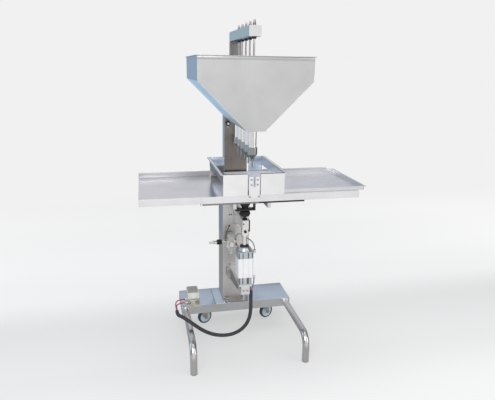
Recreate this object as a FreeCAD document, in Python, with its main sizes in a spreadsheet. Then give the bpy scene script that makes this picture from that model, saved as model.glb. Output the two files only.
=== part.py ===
import FreeCAD, Part
import math
import os
import re
import Sketcher
from FreeCAD import Placement, Rotation, Vector

# Donut filling machine: a stand on two legs and two casters, a column, a hopper over a row of
# filling nozzles, a table with a product guard, and an air cylinder that moves the dosing mast.
# Millimetres. X runs along the table, Y away from the operator, Z up. The pieces are laid out
# from the machine's centre plane, the front edge of the base and the floor, and each one is then
# moved so that the origin lies on the floor under the middle of the whole machine.

os.makedirs("parts", exist_ok=True)
doc = FreeCAD.newDocument("donut_filler")
sheet = doc.addObject("Spreadsheet::Sheet", "sheet")

# Driving dimensions
DIMENSIONS = {
    # stand
    "base_width": 590, "base_depth": 195, "base_top": 160, "base_rise": 46, "base_sheet": 3,
    "leg_inset": 23, "leg_drop": 23, "leg_diameter": 33.7, "leg_wall": 2.6, "leg_reach": 358,
    "leg_bend": 62, "plug_flange": 4, "plug_edge": 2, "plug_depth": 22,
    "caster_inset": 119, "caster_setback": 97, "caster_trail": 14, "caster_yaw": 22,
    "wheel_diameter": 80, "wheel_width": 25, "wheel_web": 14, "wheel_edge": 4, "tread_width": 12,
    "hub_radius": 11, "hub_flare": 2, "tyre_depth": 9, "axle_diameter": 10, "axle_gap": 0.1,
    "axle_end": 6, "axle_nut": 17, "axle_nut_height": 5, "fork_sheet": 3, "fork_gap": 2,
    "fork_tip": 9, "fork_chamfer": 3, "bridge_sheet": 4, "crown_height": 10, "crown_radius": 22,
    "crown_gap": 0.3, "caster_plate_size": 64, "caster_plate_sheet": 4, "caster_plate_corner": 10,
    # column
    "column_width": 140, "column_front": 40, "column_depth": 140, "column_sheet": 3,
    "column_drop": 32, "foot_width": 124, "foot_front": 5, "foot_thickness": 10,
    "upper_width": 116, "upper_front": 66, "upper_depth": 58, "upper_head": 20,
    "collar_thickness": 6, "arm_slot_gap": 3,
    # dosing slide
    "mast_width": 50, "mast_depth": 40, "mast_front": 78, "mast_wall": 3, "mast_tail": 10,
    "bush_height": 30, "bush_gap": 0.3, "slide_stroke": 45,
    "beam_rise": 76, "beam_height": 42, "beam_nose": 20, "beam_wall": 3,
    "arm_height": 45, "arm_width": 30, "arm_nose": 22,
    "tongue_width": 20, "tongue_depth": 17, "tongue_drop": 23,
    "clevis_width": 29, "clevis_cheek": 6, "clevis_gap": 0.3, "clevis_web": 8, "clevis_height": 31.5,
    "clevis_pin_diameter": 10, "clevis_pin_drop": 13, "pin_head_radius": 7, "pin_head_height": 5,
    "pin_clip_height": 3, "rod_nut": 27, "rod_nut_height": 8, "rod_rest_gap": 2.2,
    # nozzle row
    "nozzle_pitch": 80, "row_front": -313, "plunger_diameter": 8, "piston_gap": 0.3,
    "piston_height": 24, "piston_lip": 4, "piston_drop": 5, "rod_above_beam": 24,
    "lock_nut": 15, "lock_nut_height": 9, "wing_hub_radius": 8, "wing_hub_taper": 2,
    "wing_hub_height": 11, "wing_span": 18, "wing_rise": 19, "wing_sheet": 3,
    "tube_diameter": 34, "tube_bore": 30, "tube_drop": 83, "nozzle_clearance": 114,
    "nozzle_height": 78, "nozzle_diameter": 42, "nozzle_collar": 8, "needle_length": 35,
    "needle_step": 8, "needle_taper": 4, "cone_radius": 7, "cone_height": 21, "cone_wall": 4,
    "needle_diameter": 7, "needle_bore": 4, "fit_gap": 0.15,
    # hopper
    "hopper_width": 480, "hopper_front": -382, "hopper_back": 62, "hopper_wall": 98,
    "hopper_slope": 201, "hopper_base": 78, "hopper_sheet": 2, "hopper_rim": 6, "rim_lap": 0.5,
    "manifold_height": 12, "manifold_width": 60, "manifold_length": 384,
    "bracket_width": 160, "bracket_rise": 63, "bracket_height": 120,
    "seat_depth": 34, "seat_sheet": 6, "seat_drop": 38, "seat_width": 104, "ledge_width": 60,
    "clamp_knob_diameter": 22, "clamp_knob_length": 18, "clamp_neck_radius": 7,
    "clamp_neck_length": 4, "clamp_edge": 3, "clamp_drop": 14, "clamp_spread": 42,
    # table
    "table_height": 852, "table_front": -362, "table_back": 50, "table_sheet": 2,
    "flange_drop": 30, "deck_half": 228, "wing_end": 486, "fence_height": 26, "hem": 12,
    "lip_setback": 40, "rail_width": 25, "rail_drop": 38, "rail_gap": 6, "rail_inset": 8,
    "arm_rail_width": 15, "arm_rail_drop": 30,
    "tray_length": 600, "tray_width": 396, "tray_height": 18, "tray_sheet": 1.5, "tray_rim": 6,
    "tray_rim_sheet": 3, "tray_corner": 7, "tray_rim_corner": 8, "tray_overhang": 37,
    "tray_gap": 0.3, "tray_side_gap": 4,
    # guard
    "guard_half": 135, "guard_height": 93, "passage_height": 50, "panel_gap": 28,
    "guard_sheet": 2, "guard_rim": 13, "guard_post": 5, "back_gap": 62,
    "slot_plate_width": 48, "slot_plate_top": 81, "slot_plate_drop": 12, "slot_plate_sheet": 3,
    "slot_width": 8, "slot_bottom": 37,
    # dose stop
    "stop_drop": 113, "stop_half": 48, "stop_sheet": 6, "stop_bar_sheet": 8, "stop_lug": 4,
    "stop_depth": 30, "stop_foot": 20, "dose_axis": -175, "screw_diameter": 12,
    "screw_above_knob": 10, "knob_radius": 27, "knob_hub_radius": 13, "knob_hub_height": 4,
    "knob_cone": 26, "knob_height": 44, "knob_edge": 4, "knob_gap": 0.3, "flute_radius": 6,
    "flute_rise": 12, "buffer_radius": 25.5, "buffer_height": 45.5, "buffer_foot": 11,
    "buffer_foot_height": 5, "buffer_stem": 4.5, "buffer_neck": 15, "buffer_gap": 0.5,
    # air cylinder
    "cylinder_side": 76, "cylinder_bore": 63, "cylinder_corner": 10, "barrel_length": 99,
    "head_height": 34, "boss_radius": 22, "boss_height": 22, "boss_collar": 6, "rod_radius": 10,
    "cap_side": 64, "cap_height": 38, "piston_thickness": 25, "piston_head_gap": 10,
    "groove_width": 6, "groove_depth": 3, "groove_spread": 14, "stud_radius": 7,
    "stud_length": 97, "stud_nut": 22, "stud_nut_height": 12, "shelf_sheet": 8, "shelf_half": 33,
    "cheek_half": 21, "cheek_sheet": 5, "cheek_height": 42, "shelf_apron": 6, "shelf_front": -212,
    "back_plate_half": 45, "back_plate_drop": 76, "back_plate_rise": 22, "back_plate_sheet": 6,
    # bolts of the frame
    "base_bolt": 17, "base_bolt_height": 7, "base_bolt_spread": 48, "base_bolt_setback": 17,
    "bracket_bolt": 13, "bracket_bolt_height": 6, "bracket_bolt_spread": 69,
    "bracket_bolt_inset": 16, "plate_bolt_height": 5, "plate_bolt_spread": 36,
    "plate_bolt_low_inset": 9, "plate_bolt_high_inset": 12, "screw_head_radius": 4.5,
    "screw_head_height": 3.5, "slot_screw_spread": 13, "corner_screw_spread": 20,
    "corner_screw_drop": 6, "low_screw_rise": 10, "high_screw_drop": 12, "apron_screw_radius": 5.5,
    "apron_screw_height": 5, "apron_screw_spread": 9, "seat_screw_radius": 6,
    "seat_screw_drop": 31,
    # air service
    "regulator_x": -33, "regulator_drop": 17, "regulator_width": 42, "regulator_depth": 44,
    "regulator_height": 38, "regulator_stand": 2, "regulator_corner": 3, "pad_width": 24,
    "pad_inset": 10, "bonnet_radius": 16, "bonnet_height": 8, "regulator_knob_radius": 18,
    "regulator_knob_height": 26, "regulator_knob_edge": 4, "bowl_radius": 18, "bowl_height": 31,
    "bowl_nose": 8, "bowl_ring": 7, "drain_radius": 5, "drain_height": 13, "gauge_radius": 14,
    "gauge_depth": 14, "gauge_rise": 20, "gauge_stem": 4, "gauge_bezel": 2, "gauge_glass": 1.5,
    "valve_width": 30, "valve_depth": 26, "valve_height": 46, "valve_drop": 2,
    "inlet_y": 58, "inlet_rise": 10, "inlet_radius": 13.5, "inlet_sleeve": 26, "inlet_core": 9,
    "inlet_stand": 4, "inlet_shoulder": 3, "inlet_collar": 5, "inlet_collar_radius": 10,
    "inlet_length": 70, "inlet_nipple_radius": 6, "inlet_nipple_length": 22, "inlet_bore": 3.5,
    "sleeve_chamfer": 2, "sleeve_gap": 0.2,
    # foot pedal
    "pedal_inset": 61, "pedal_width": 62, "pedal_front": 2, "pedal_depth": 92,
    "pedal_base_flare": 6, "pedal_toe": 12, "pedal_heel": 4, "pedal_toe_height": 3,
    "pedal_base_height": 8, "pedal_body_height": 34, "pedal_body_inset": 4, "pedal_body_back": 26,
    "pedal_cheek_drop": 6, "pedal_cheek_sheet": 6, "pedal_cheek_end": 2, "pedal_eye": 9,
    "pedal_eye_rise": 5, "tread_sheet": 4, "tread_rise": 74, "tread_nose": 4, "tread_side": 1,
    "tread_skirt": 30, "ear_inset": 10.5, "ear_sheet": 4, "ear_half": 7, "pedal_pin_rise": 46,
    "pedal_pin_inset": 12, "pedal_pin_radius": 4, "pedal_pin_end": 1, "pin_fit": 0.02,
    "tread_fit": 0.05, "port_radius": 7, "port_depth": 5, "port_spread": 20, "port_rise": 13,
    # hoses and their push-in fittings
    "sleeve_diameter": 18, "hose_diameter": 6, "fitting_radius": 5, "fitting_length": 8,
    "elbow_reach": 11.5, "elbow_wall": 0.5, "supply_rise": 108, "feed_offset": 29, "feed_drop": 12,
    "head_socket": 14, "cap_socket": 10, "head_port_rise": 17, "cap_port_drop": 11, "outlet_rise": 20, "return_rise": 12,
}

# Sizes that follow from the driving ones
DERIVED = {
    "centre_x": "tray_overhang / 2",
    "centre_y": "(base_depth + hopper_front - hopper_rim) / 2",
    "base_bottom": "base_top - base_rise",
    "leg_spread": "base_width / 2 - leg_inset",
    "leg_axis": "base_top - leg_drop",
    "caster_spread": "base_width / 2 - caster_inset",
    "axle_height": "wheel_diameter / 2",
    "fork_inner": "wheel_width / 2 + fork_gap",
    "fork_outer": "fork_inner + fork_sheet",
    "plate_bottom": "base_bottom - caster_plate_sheet",
    "crown_bottom": "plate_bottom - crown_height",
    "deck_bottom": "table_height - table_sheet",
    "rail_half": "deck_half - rail_gap",
    "rail_bottom": "deck_bottom - rail_drop",
    "arm_rail_bottom": "rail_bottom - arm_rail_drop",
    "guard_top": "table_height + guard_height",
    "tray_bottom": "table_height + tray_gap",
    "tray_right": "wing_end + tray_overhang",
    "column_top": "table_height - column_drop",
    "column_back": "column_front + column_depth",
    "foot_top": "base_top + foot_thickness",
    "collar_top": "column_top + collar_thickness",
    "nozzle_tip": "table_height + nozzle_clearance",
    "nozzle_cone_end": "nozzle_tip + needle_length",
    "nozzle_shoulder": "nozzle_cone_end + cone_height",
    "tube_bottom": "nozzle_tip + nozzle_height",
    "hopper_bottom": "tube_bottom + tube_drop",
    "hopper_shoulder": "hopper_bottom + hopper_slope",
    "hopper_top": "hopper_shoulder + hopper_wall",
    "bracket_low": "hopper_bottom + bracket_rise",
    "bracket_high": "bracket_low + bracket_height",
    "upper_top": "bracket_high + upper_head",
    "upper_back": "upper_front + upper_depth",
    "piston_top": "hopper_bottom - piston_drop",
    "beam_bottom": "hopper_top + beam_rise",
    "beam_top": "beam_bottom + beam_height",
    "mast_back": "mast_front + mast_depth",
    "row_middle": "row_front + 2 * nozzle_pitch",
    "beam_front": "row_front - beam_nose",
    "stop_bar_top": "table_height - stop_drop",
    "stop_bar_bottom": "stop_bar_top - stop_bar_sheet",
    "buffer_top": "stop_bar_bottom - buffer_gap",
    "arm_top": "buffer_top - buffer_height",
    "arm_bottom": "arm_top - arm_height",
    "arm_front": "dose_axis - arm_nose",
    "mast_bottom": "arm_bottom - mast_tail",
    "clevis_top": "arm_bottom - clevis_gap",
    "clevis_bottom": "clevis_top - clevis_height",
    "rod_nut_bottom": "clevis_bottom - rod_nut_height",
    "boss_top": "rod_nut_bottom - slide_stroke - rod_rest_gap",
    "head_top": "boss_top - boss_height",
    "barrel_top": "head_top - head_height",
    "barrel_bottom": "barrel_top - barrel_length",
    "piston_rest": "barrel_top - piston_head_gap - piston_thickness",
    "shelf_top": "barrel_bottom - cap_height",
    "shelf_bottom": "shelf_top - shelf_sheet",
    "stud_end": "shelf_top - stud_length",
    "back_plate_low": "shelf_top - back_plate_drop",
    "back_plate_high": "shelf_top + back_plate_rise",
    "back_plate_front": "column_front - back_plate_sheet",
    "regulator_back": "column_front - regulator_stand",
    "regulator_front": "regulator_back - regulator_depth",
    "regulator_middle": "regulator_back - regulator_depth / 2",
    "regulator_low": "barrel_top - regulator_drop",
    "regulator_high": "regulator_low + regulator_height",
    "inlet_height": "regulator_low + inlet_rise",
    "supply_height": "regulator_low + supply_rise",
    "feed_height": "shelf_bottom - feed_drop",
    "pedal_x": "pedal_inset - base_width / 2",
    "pedal_back": "pedal_front + pedal_depth",
    "pedal_left": "pedal_x - pedal_width / 2",
    "pedal_right": "pedal_x + pedal_width / 2",
    "pedal_floor": "base_top + pedal_base_height",
    "pedal_body_top": "pedal_floor + pedal_body_height",
    "pedal_pin_y": "pedal_back - pedal_pin_inset",
    "pedal_pin_height": "base_top + pedal_pin_rise",
    "tread_top": "base_top + tread_rise",
}

CELLS = {name: str(size) for name, size in DIMENSIONS.items()}
CELLS.update({name: "=" + text for name, text in DERIVED.items()})
for row, (name, content) in enumerate(CELLS.items(), start=1):
    sheet.set("A%d" % row, name)
    sheet.set("B%d" % row, content)
    sheet.setAlias("B%d" % row, name)
doc.recompute()

WORD = re.compile(r"[a-z][a-z_0-9]*")
LOCATION = {}
PIECES = {}


def formula(text):
    """The sheet expression for a formula written in plain dimension names."""
    def spell(match):
        word = match.group(0)
        return "sheet." + word if word in CELLS else word
    return WORD.sub(spell, str(text))


def number(name):
    """The plain value of one dimension of the sheet."""
    return float(sheet.get(name))


def place(piece, at, turn=None):
    """Put a piece at a point given by three formulas, turned if it needs to be."""
    if turn is not None:
        piece.Placement = Placement(Vector(0, 0, 0), turn)
    LOCATION[piece.Name] = at
    for axis, where in zip("xyz", at):
        piece.setExpression("Placement.Base." + axis, formula(where))
    return piece


def keep(label, piece):
    """Name a finished sub-part and move it into the machine's own frame."""
    piece.Label = label
    at = LOCATION.get(piece.Name, ("0", "0", "0"))
    place(piece, ("(%s) - centre_x" % at[0], "(%s) - centre_y" % at[1], at[2]))
    PIECES[label] = piece
    return piece


TURNS = {
    "z": Rotation(),
    "x": Rotation(Vector(0, 1, 0), 90),
    "y": Rotation(Vector(1, 0, 0), -90),
    "-x": Rotation(Vector(0, 1, 0), -90),
    "-y": Rotation(Vector(1, 0, 0), 90),
    "-z": Rotation(Vector(1, 0, 0), 180),
}


def box(low, high):
    """A block between two corners, each given by three formulas."""
    piece = doc.addObject("Part::Box", "block")
    for side, start, end in zip(("Length", "Width", "Height"), low, high):
        piece.setExpression(side, formula("(%s) - (%s)" % (end, start)))
    return place(piece, low)


def rod(at, radius, length, axis="z"):
    """A round bar from a point along an axis."""
    piece = doc.addObject("Part::Cylinder", "bar")
    piece.setExpression("Radius", formula(radius))
    piece.setExpression("Height", formula(length))
    return place(piece, at, TURNS[axis])


def hexagon(at, across, length, axis="z"):
    """A hexagonal nut or bolt head, by its width across flats."""
    piece = doc.addObject("Part::Prism", "hexagon")
    piece.Polygon = 6
    piece.setExpression("Circumradius", formula("(%s) / sqrt(3)" % across))
    piece.setExpression("Height", formula(length))
    return place(piece, at, TURNS[axis])


def quarter_bend(at, bend, radius, turn):
    """A quarter of a torus, for a bent tube."""
    piece = doc.addObject("Part::Torus", "bend")
    piece.setExpression("Radius1", formula(bend))
    piece.setExpression("Radius2", formula(radius))
    piece.Angle3 = 90
    return place(piece, at, turn)


def cut(base, *tools):
    """A piece with others taken out of it."""
    for tool in tools:
        result = doc.addObject("Part::Cut", "cut")
        result.Base = base
        result.Tool = tool
        base = result
    return base


def fuse(*parts):
    """Several shapes joined into one piece."""
    result = doc.addObject("Part::MultiFuse", "joined")
    result.Shapes = list(parts)
    result.Refine = True
    return result


def group(*parts):
    """Identical or matching pieces that share one node as separate solids."""
    result = doc.addObject("Part::Compound", "group")
    result.Links = list(parts)
    return result


def rounded(base, radius, axis):
    """A block with the edges along one axis rounded."""
    doc.recompute()
    result = doc.addObject("Part::Fillet", "rounded")
    result.Base = base
    along = {"x": Vector(1, 0, 0), "y": Vector(0, 1, 0), "z": Vector(0, 0, 1)}[axis]
    edges = []
    for index, edge in enumerate(base.Shape.Edges, start=1):
        if abs(edge.tangentAt(edge.FirstParameter).dot(along)) > 0.99:
            edges.append((index, number(radius), number(radius)))
    result.Edges = edges
    return result


# Reach of the ring of lines that a sketch starts from, before its constraints place every corner
FIRST_GUESS = 50


def draw(body, role, points, offset):
    """A closed outline on one of the body's own origin planes, every corner bound to the sheet."""
    plane = [feature for feature in body.Origin.OriginFeatures if feature.Role == role][0]
    sketch = body.newObject("Sketcher::SketchObject", "outline")
    sketch.AttachmentSupport = [(plane, "")]
    sketch.MapMode = "FlatFace"
    sketch.setExpression("AttachmentOffset.Base.z", formula(offset))
    count = len(points)
    for index in range(count):
        angle = 2 * math.pi * index / count
        following = 2 * math.pi * (index + 1) / count
        start = Vector(math.cos(angle), math.sin(angle), 0) * FIRST_GUESS
        end = Vector(math.cos(following), math.sin(following), 0) * FIRST_GUESS
        sketch.addGeometry(Part.LineSegment(start, end), False)
    for index in range(count):
        sketch.addConstraint(Sketcher.Constraint("Coincident", index, 2, (index + 1) % count, 1))
    for index, point in enumerate(points):
        for kind, where in zip(("DistanceX", "DistanceY"), point):
            line = sketch.addConstraint(Sketcher.Constraint(kind, index, 1, 1.0))
            sketch.setExpression("Constraints[%d]" % line, formula(where))
    return sketch


def prism(role, points, start, end):
    """An outline pushed along the axis that stands on its plane, from start to end."""
    body = doc.addObject("PartDesign::Body", "body")
    towards_operator = role == "XZ_Plane"
    offset = "-(%s)" % start if towards_operator else start
    sketch = draw(body, role, points, offset)
    pad = body.newObject("PartDesign::Pad", "pad")
    pad.Profile = sketch
    pad.Reversed = towards_operator
    pad.setExpression("Length", formula("(%s) - (%s)" % (end, start)))
    return body


def turned(profile, at=("0", "0", "0"), axis="z"):
    """A turned piece: a profile of radius and height pairs spun about its own axis."""
    body = doc.addObject("PartDesign::Body", "body")
    sketch = draw(body, "XZ_Plane", profile, "0")
    spin = body.newObject("PartDesign::Revolution", "spin")
    spin.Profile = sketch
    spin.ReferenceAxis = (sketch, ["V_Axis"])
    spin.Angle = 360
    return place(body, at, TURNS[axis])


def mirror_pair(make):
    """The left and the right copy of a piece whose maker takes a side."""
    return make(-1), make(1)


def spans(side, near, far):
    """The lower and the higher X of a stretch that is given outwards from the centre plane."""
    return (near, far) if side > 0 else ("-(%s)" % far, "-(%s)" % near)


def across(side, near, far, low, high):
    """A block on one side of the centre plane, between two depths and heights."""
    start, end = spans(side, near, far)
    return box((start, *low), (end, *high))


def stations():
    """The formulas for the depth of each nozzle, front one first."""
    return ["row_front + %d * nozzle_pitch" % index for index in range(5)]


# Stand
def make_base():
    outer = box(("-base_width / 2", "0", "base_bottom"), ("base_width / 2", "base_depth", "base_top"))
    inner = box(("-base_width / 2 + base_sheet", "base_sheet", "base_bottom + base_sheet"),
                ("base_width / 2 - base_sheet", "base_depth - base_sheet", "base_top - base_sheet"))
    keep("base_beam", cut(outer, inner))


def make_legs():
    turn = Rotation(Vector(0, 0, 1), Vector(0, -1, 0), Vector(1, 0, 0), "ZXY")

    def solid(side, radius, extra):
        x = "%d * leg_spread" % side
        run = "leg_reach - leg_bend"
        level = rod((x, "%s" % extra, "leg_axis"), radius, "%s + %s" % (run, extra), "-y")
        bend = quarter_bend((x, "-(%s)" % run, "leg_axis - leg_bend"), "leg_bend", radius, turn)
        foot = rod((x, "-leg_reach", "plug_flange - %s" % extra), radius,
                   "leg_axis - leg_bend - plug_flange + %s" % extra)
        return fuse(level, bend, foot)

    def leg(side):
        return cut(solid(side, "leg_diameter / 2", "0"), solid(side, "leg_diameter / 2 - leg_wall", "1"))

    def plug(side):
        inside = "leg_diameter / 2 - leg_wall - fit_gap"
        outside = "leg_diameter / 2"
        profile = [("0", "0"), (outside + " - plug_edge", "0"), (outside, "plug_edge"),
                   (outside, "plug_flange"),
                   (inside, "plug_flange"), (inside, "plug_depth"), ("0", "plug_depth")]
        return turned(profile, ("%d * leg_spread" % side, "-leg_reach", "0"))

    keep("leg_tubes", group(*mirror_pair(leg)))
    keep("leg_end_plugs", group(*mirror_pair(plug)))


def caster_place(side):
    return ("%d * caster_spread" % side, "caster_setback", "0")


def swivelled(piece, side):
    """Turn a piece built about the swivel axis to the way the caster points."""
    holder = group(piece)
    place(holder, caster_place(side), Rotation(Vector(0, 0, 1), number("caster_yaw")))
    holder.setExpression("Placement.Rotation.Angle", formula("caster_yaw"))
    return holder


def make_casters():
    def plate(side):
        half = "caster_plate_size / 2"
        x, y, z = caster_place(side)
        flat = box(("%s - %s" % (x, half), "%s - %s" % (y, half), "plate_bottom"),
                   ("%s + %s" % (x, half), "%s + %s" % (y, half), "base_bottom"))
        return rounded(flat, "caster_plate_corner", "z")

    keep("caster_plates", group(*mirror_pair(plate)))
    for side, word in ((-1, "left"), (1, "right")):
        keep("caster_fork_" + word, swivelled(caster_fork(), side))
        keep("caster_wheel_" + word, swivelled(caster_wheel(), side))


def caster_fork():
    """Crown, two cheeks and the axle, about the swivel axis."""
    crown = turned([("0", "crown_bottom"), ("crown_radius", "crown_bottom"),
                    ("crown_radius", "plate_bottom - fork_chamfer"),
                    ("crown_radius - fork_chamfer", "plate_bottom - crown_gap"),
                    ("0", "plate_bottom - crown_gap")])
    shoulder = "crown_radius - fork_gap"
    high = "crown_bottom + bridge_sheet"
    low = "axle_height - fork_tip"
    side = "axle_height - fork_tip + fork_chamfer + fork_gap"
    outline = [("-(%s)" % shoulder, high), ("caster_trail - fork_tip", side),
               ("caster_trail - fork_tip + fork_chamfer", low),
               ("caster_trail + fork_tip - fork_chamfer", low),
               ("caster_trail + fork_tip", side), (shoulder, high)]
    near = prism("XZ_Plane", outline, "-fork_outer", "-fork_inner")
    far = prism("XZ_Plane", outline, "fork_inner", "fork_outer")
    bridge = box(("-(%s)" % shoulder, "-fork_outer", "crown_bottom"), (shoulder, "fork_outer", high))
    axle = rod(("caster_trail", "-fork_outer - axle_end", "axle_height"), "axle_diameter / 2",
               "2 * (fork_outer + axle_end)", "y")
    nut = hexagon(("caster_trail", "fork_outer", "axle_height"), "axle_nut", "axle_nut_height", "y")
    head = hexagon(("caster_trail", "-fork_outer", "axle_height"), "axle_nut", "axle_nut_height", "-y")
    return fuse(crown, near, far, bridge, axle, nut, head)


def caster_wheel():
    """Tyre on a dished disc with a hub, turned about the axle."""
    tread = "wheel_diameter / 2"
    rim = "wheel_diameter / 2 - tyre_depth"
    half = [("axle_diameter / 2 + axle_gap", "wheel_width / 2"), ("hub_radius", "wheel_width / 2"),
            ("hub_radius + hub_flare", "wheel_web / 2"), (rim + " - fork_chamfer", "wheel_web / 2"),
            (rim, "wheel_width / 2 - hub_flare"), (tread + " - wheel_edge", "wheel_width / 2 - hub_flare"),
            (tread, "tread_width / 2")]
    other = [(radius, "-(%s)" % height) for radius, height in half]
    return turned(other + half[::-1], ("caster_trail", "0", "axle_height"), "y")


# Column
def channel_outline(width, front, back, sheet_name):
    """A U-shaped section open towards the back."""
    half = width + " / 2"
    inside = "%s - %s" % (half, sheet_name)
    inner_front = "%s + %s" % (front, sheet_name)
    return [("-%s" % half, back), ("-%s" % half, front), (half, front), (half, back),
            (inside, back), (inside, inner_front), ("-(%s)" % inside, inner_front),
            ("-(%s)" % inside, back)]


def make_column():
    back = "column_back - column_sheet"
    shell = prism("XY_Plane", channel_outline("column_width", "column_front", back, "column_sheet"),
                  "foot_top", "column_top")
    reach = "arm_width / 2 + arm_slot_gap"
    slot = box(("-(%s)" % reach, "column_front - 1", "arm_bottom - slide_stroke - arm_slot_gap"),
               (reach, "column_front + column_sheet + 1", "arm_top + arm_slot_gap"))
    foot = box(("-foot_width / 2", "foot_front", "base_top"), ("foot_width / 2", "column_back", "foot_top"))
    keep("lower_column", fuse(cut(shell, slot), foot))
    keep("column_back_cover", box(("-column_width / 2", back, "foot_top"),
                                  ("column_width / 2", "column_back", "column_top")))


def make_upper_column():
    tube = box(("-upper_width / 2", "upper_front", "collar_top"),
               ("upper_width / 2", "upper_back", "upper_top"))
    collar = box(("-column_width / 2", "column_front", "column_top"),
                 ("column_width / 2", "column_back", "collar_top"))
    hollow = box(("-upper_width / 2 + column_sheet", "upper_front + column_sheet", "column_top - 1"),
                 ("upper_width / 2 - column_sheet", "upper_back - column_sheet", "upper_top + 1"))
    keep("upper_column", cut(fuse(tube, collar), hollow))

    def bush(low):
        x = "upper_width / 2 - column_sheet"
        outer = box(("-(%s)" % x, "upper_front + column_sheet", low),
                    (x, "upper_back - column_sheet", "%s + bush_height" % low))
        inner = box(("-mast_width / 2 - bush_gap", "mast_front - bush_gap", "%s - 1" % low),
                    ("mast_width / 2 + bush_gap", "mast_back + bush_gap", "%s + bush_height + 1" % low))
        return cut(outer, inner)

    keep("mast_bushes", group(bush("collar_top"), bush("upper_top - bush_height")))


# Dosing slide
def make_mast():
    outer = box(("-mast_width / 2", "mast_front", "mast_bottom"),
                ("mast_width / 2", "mast_back", "beam_bottom"))
    inner = box(("-mast_width / 2 + mast_wall", "mast_front + mast_wall", "mast_bottom - 1"),
                ("mast_width / 2 - mast_wall", "mast_back - mast_wall", "beam_bottom + 1"))
    keep("inner_mast", cut(outer, inner))


def make_beam():
    outer = box(("-mast_width / 2", "beam_front", "beam_bottom"),
                ("mast_width / 2", "mast_back", "beam_top"))
    inner = box(("-mast_width / 2 + beam_wall", "beam_front + beam_wall", "beam_bottom + beam_wall"),
                ("mast_width / 2 - beam_wall", "mast_back - beam_wall", "beam_top - beam_wall"))
    holes = [rod(("0", y, "beam_bottom - 1"), "plunger_diameter / 2 + fit_gap", "beam_height + 2")
             for y in stations()]
    keep("top_beam", cut(outer, inner, *holes))


def make_plungers():
    def plunger(y):
        piston = "tube_bore / 2 - piston_gap"
        shaft = "plunger_diameter / 2"
        top = "beam_top + rod_above_beam"
        low = "piston_top - piston_height"
        profile = [("0", low), (piston + " - piston_lip", low), (piston, low + " + piston_lip"),
                   (piston, "piston_top - piston_lip"), (piston + " - piston_lip", "piston_top"),
                   (shaft, "piston_top"), (shaft, top), ("0", top)]
        return turned(profile, ("0", y, "0"))

    def lock_nut(y):
        return cut(hexagon(("0", y, "beam_bottom - lock_nut_height"), "lock_nut", "lock_nut_height"),
                   rod(("0", y, "beam_bottom - lock_nut_height - 1"), "plunger_diameter / 2 + fit_gap",
                       "lock_nut_height + 2"))

    def wing_nut(y):
        bore = "plunger_diameter / 2 + fit_gap"
        hub = turned([(bore, "beam_top"), ("wing_hub_radius", "beam_top"),
                      ("wing_hub_radius - wing_hub_taper", "beam_top + wing_hub_height"),
                      (bore, "beam_top + wing_hub_height")], ("0", y, "0"))
        outline = [("wing_hub_radius - 0.75 * wing_hub_taper", "beam_top + 0.16 * wing_rise"),
                   ("0.9 * wing_span", "beam_top + 0.48 * wing_rise"),
                   ("wing_span", "beam_top + 0.9 * wing_rise"), ("0.78 * wing_span", "beam_top + wing_rise"),
                   ("0.56 * wing_span", "beam_top + 0.63 * wing_rise"),
                   ("wing_hub_radius - 0.95 * wing_hub_taper", "beam_top + 0.53 * wing_rise")]
        wings = []
        for sign in ("", "-"):
            shape = [("%s(%s)" % (sign, reach), height) for reach, height in outline]
            wing = prism("YZ_Plane", shape, "-wing_sheet / 2", "wing_sheet / 2")
            wings.append(place(wing, ("0", y, "0")))
        return fuse(hub, *wings)

    keep("plungers", group(*[plunger(y) for y in stations()]))
    keep("plunger_nuts", group(*[nut(y) for y in stations() for nut in (lock_nut, wing_nut)]))


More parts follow.
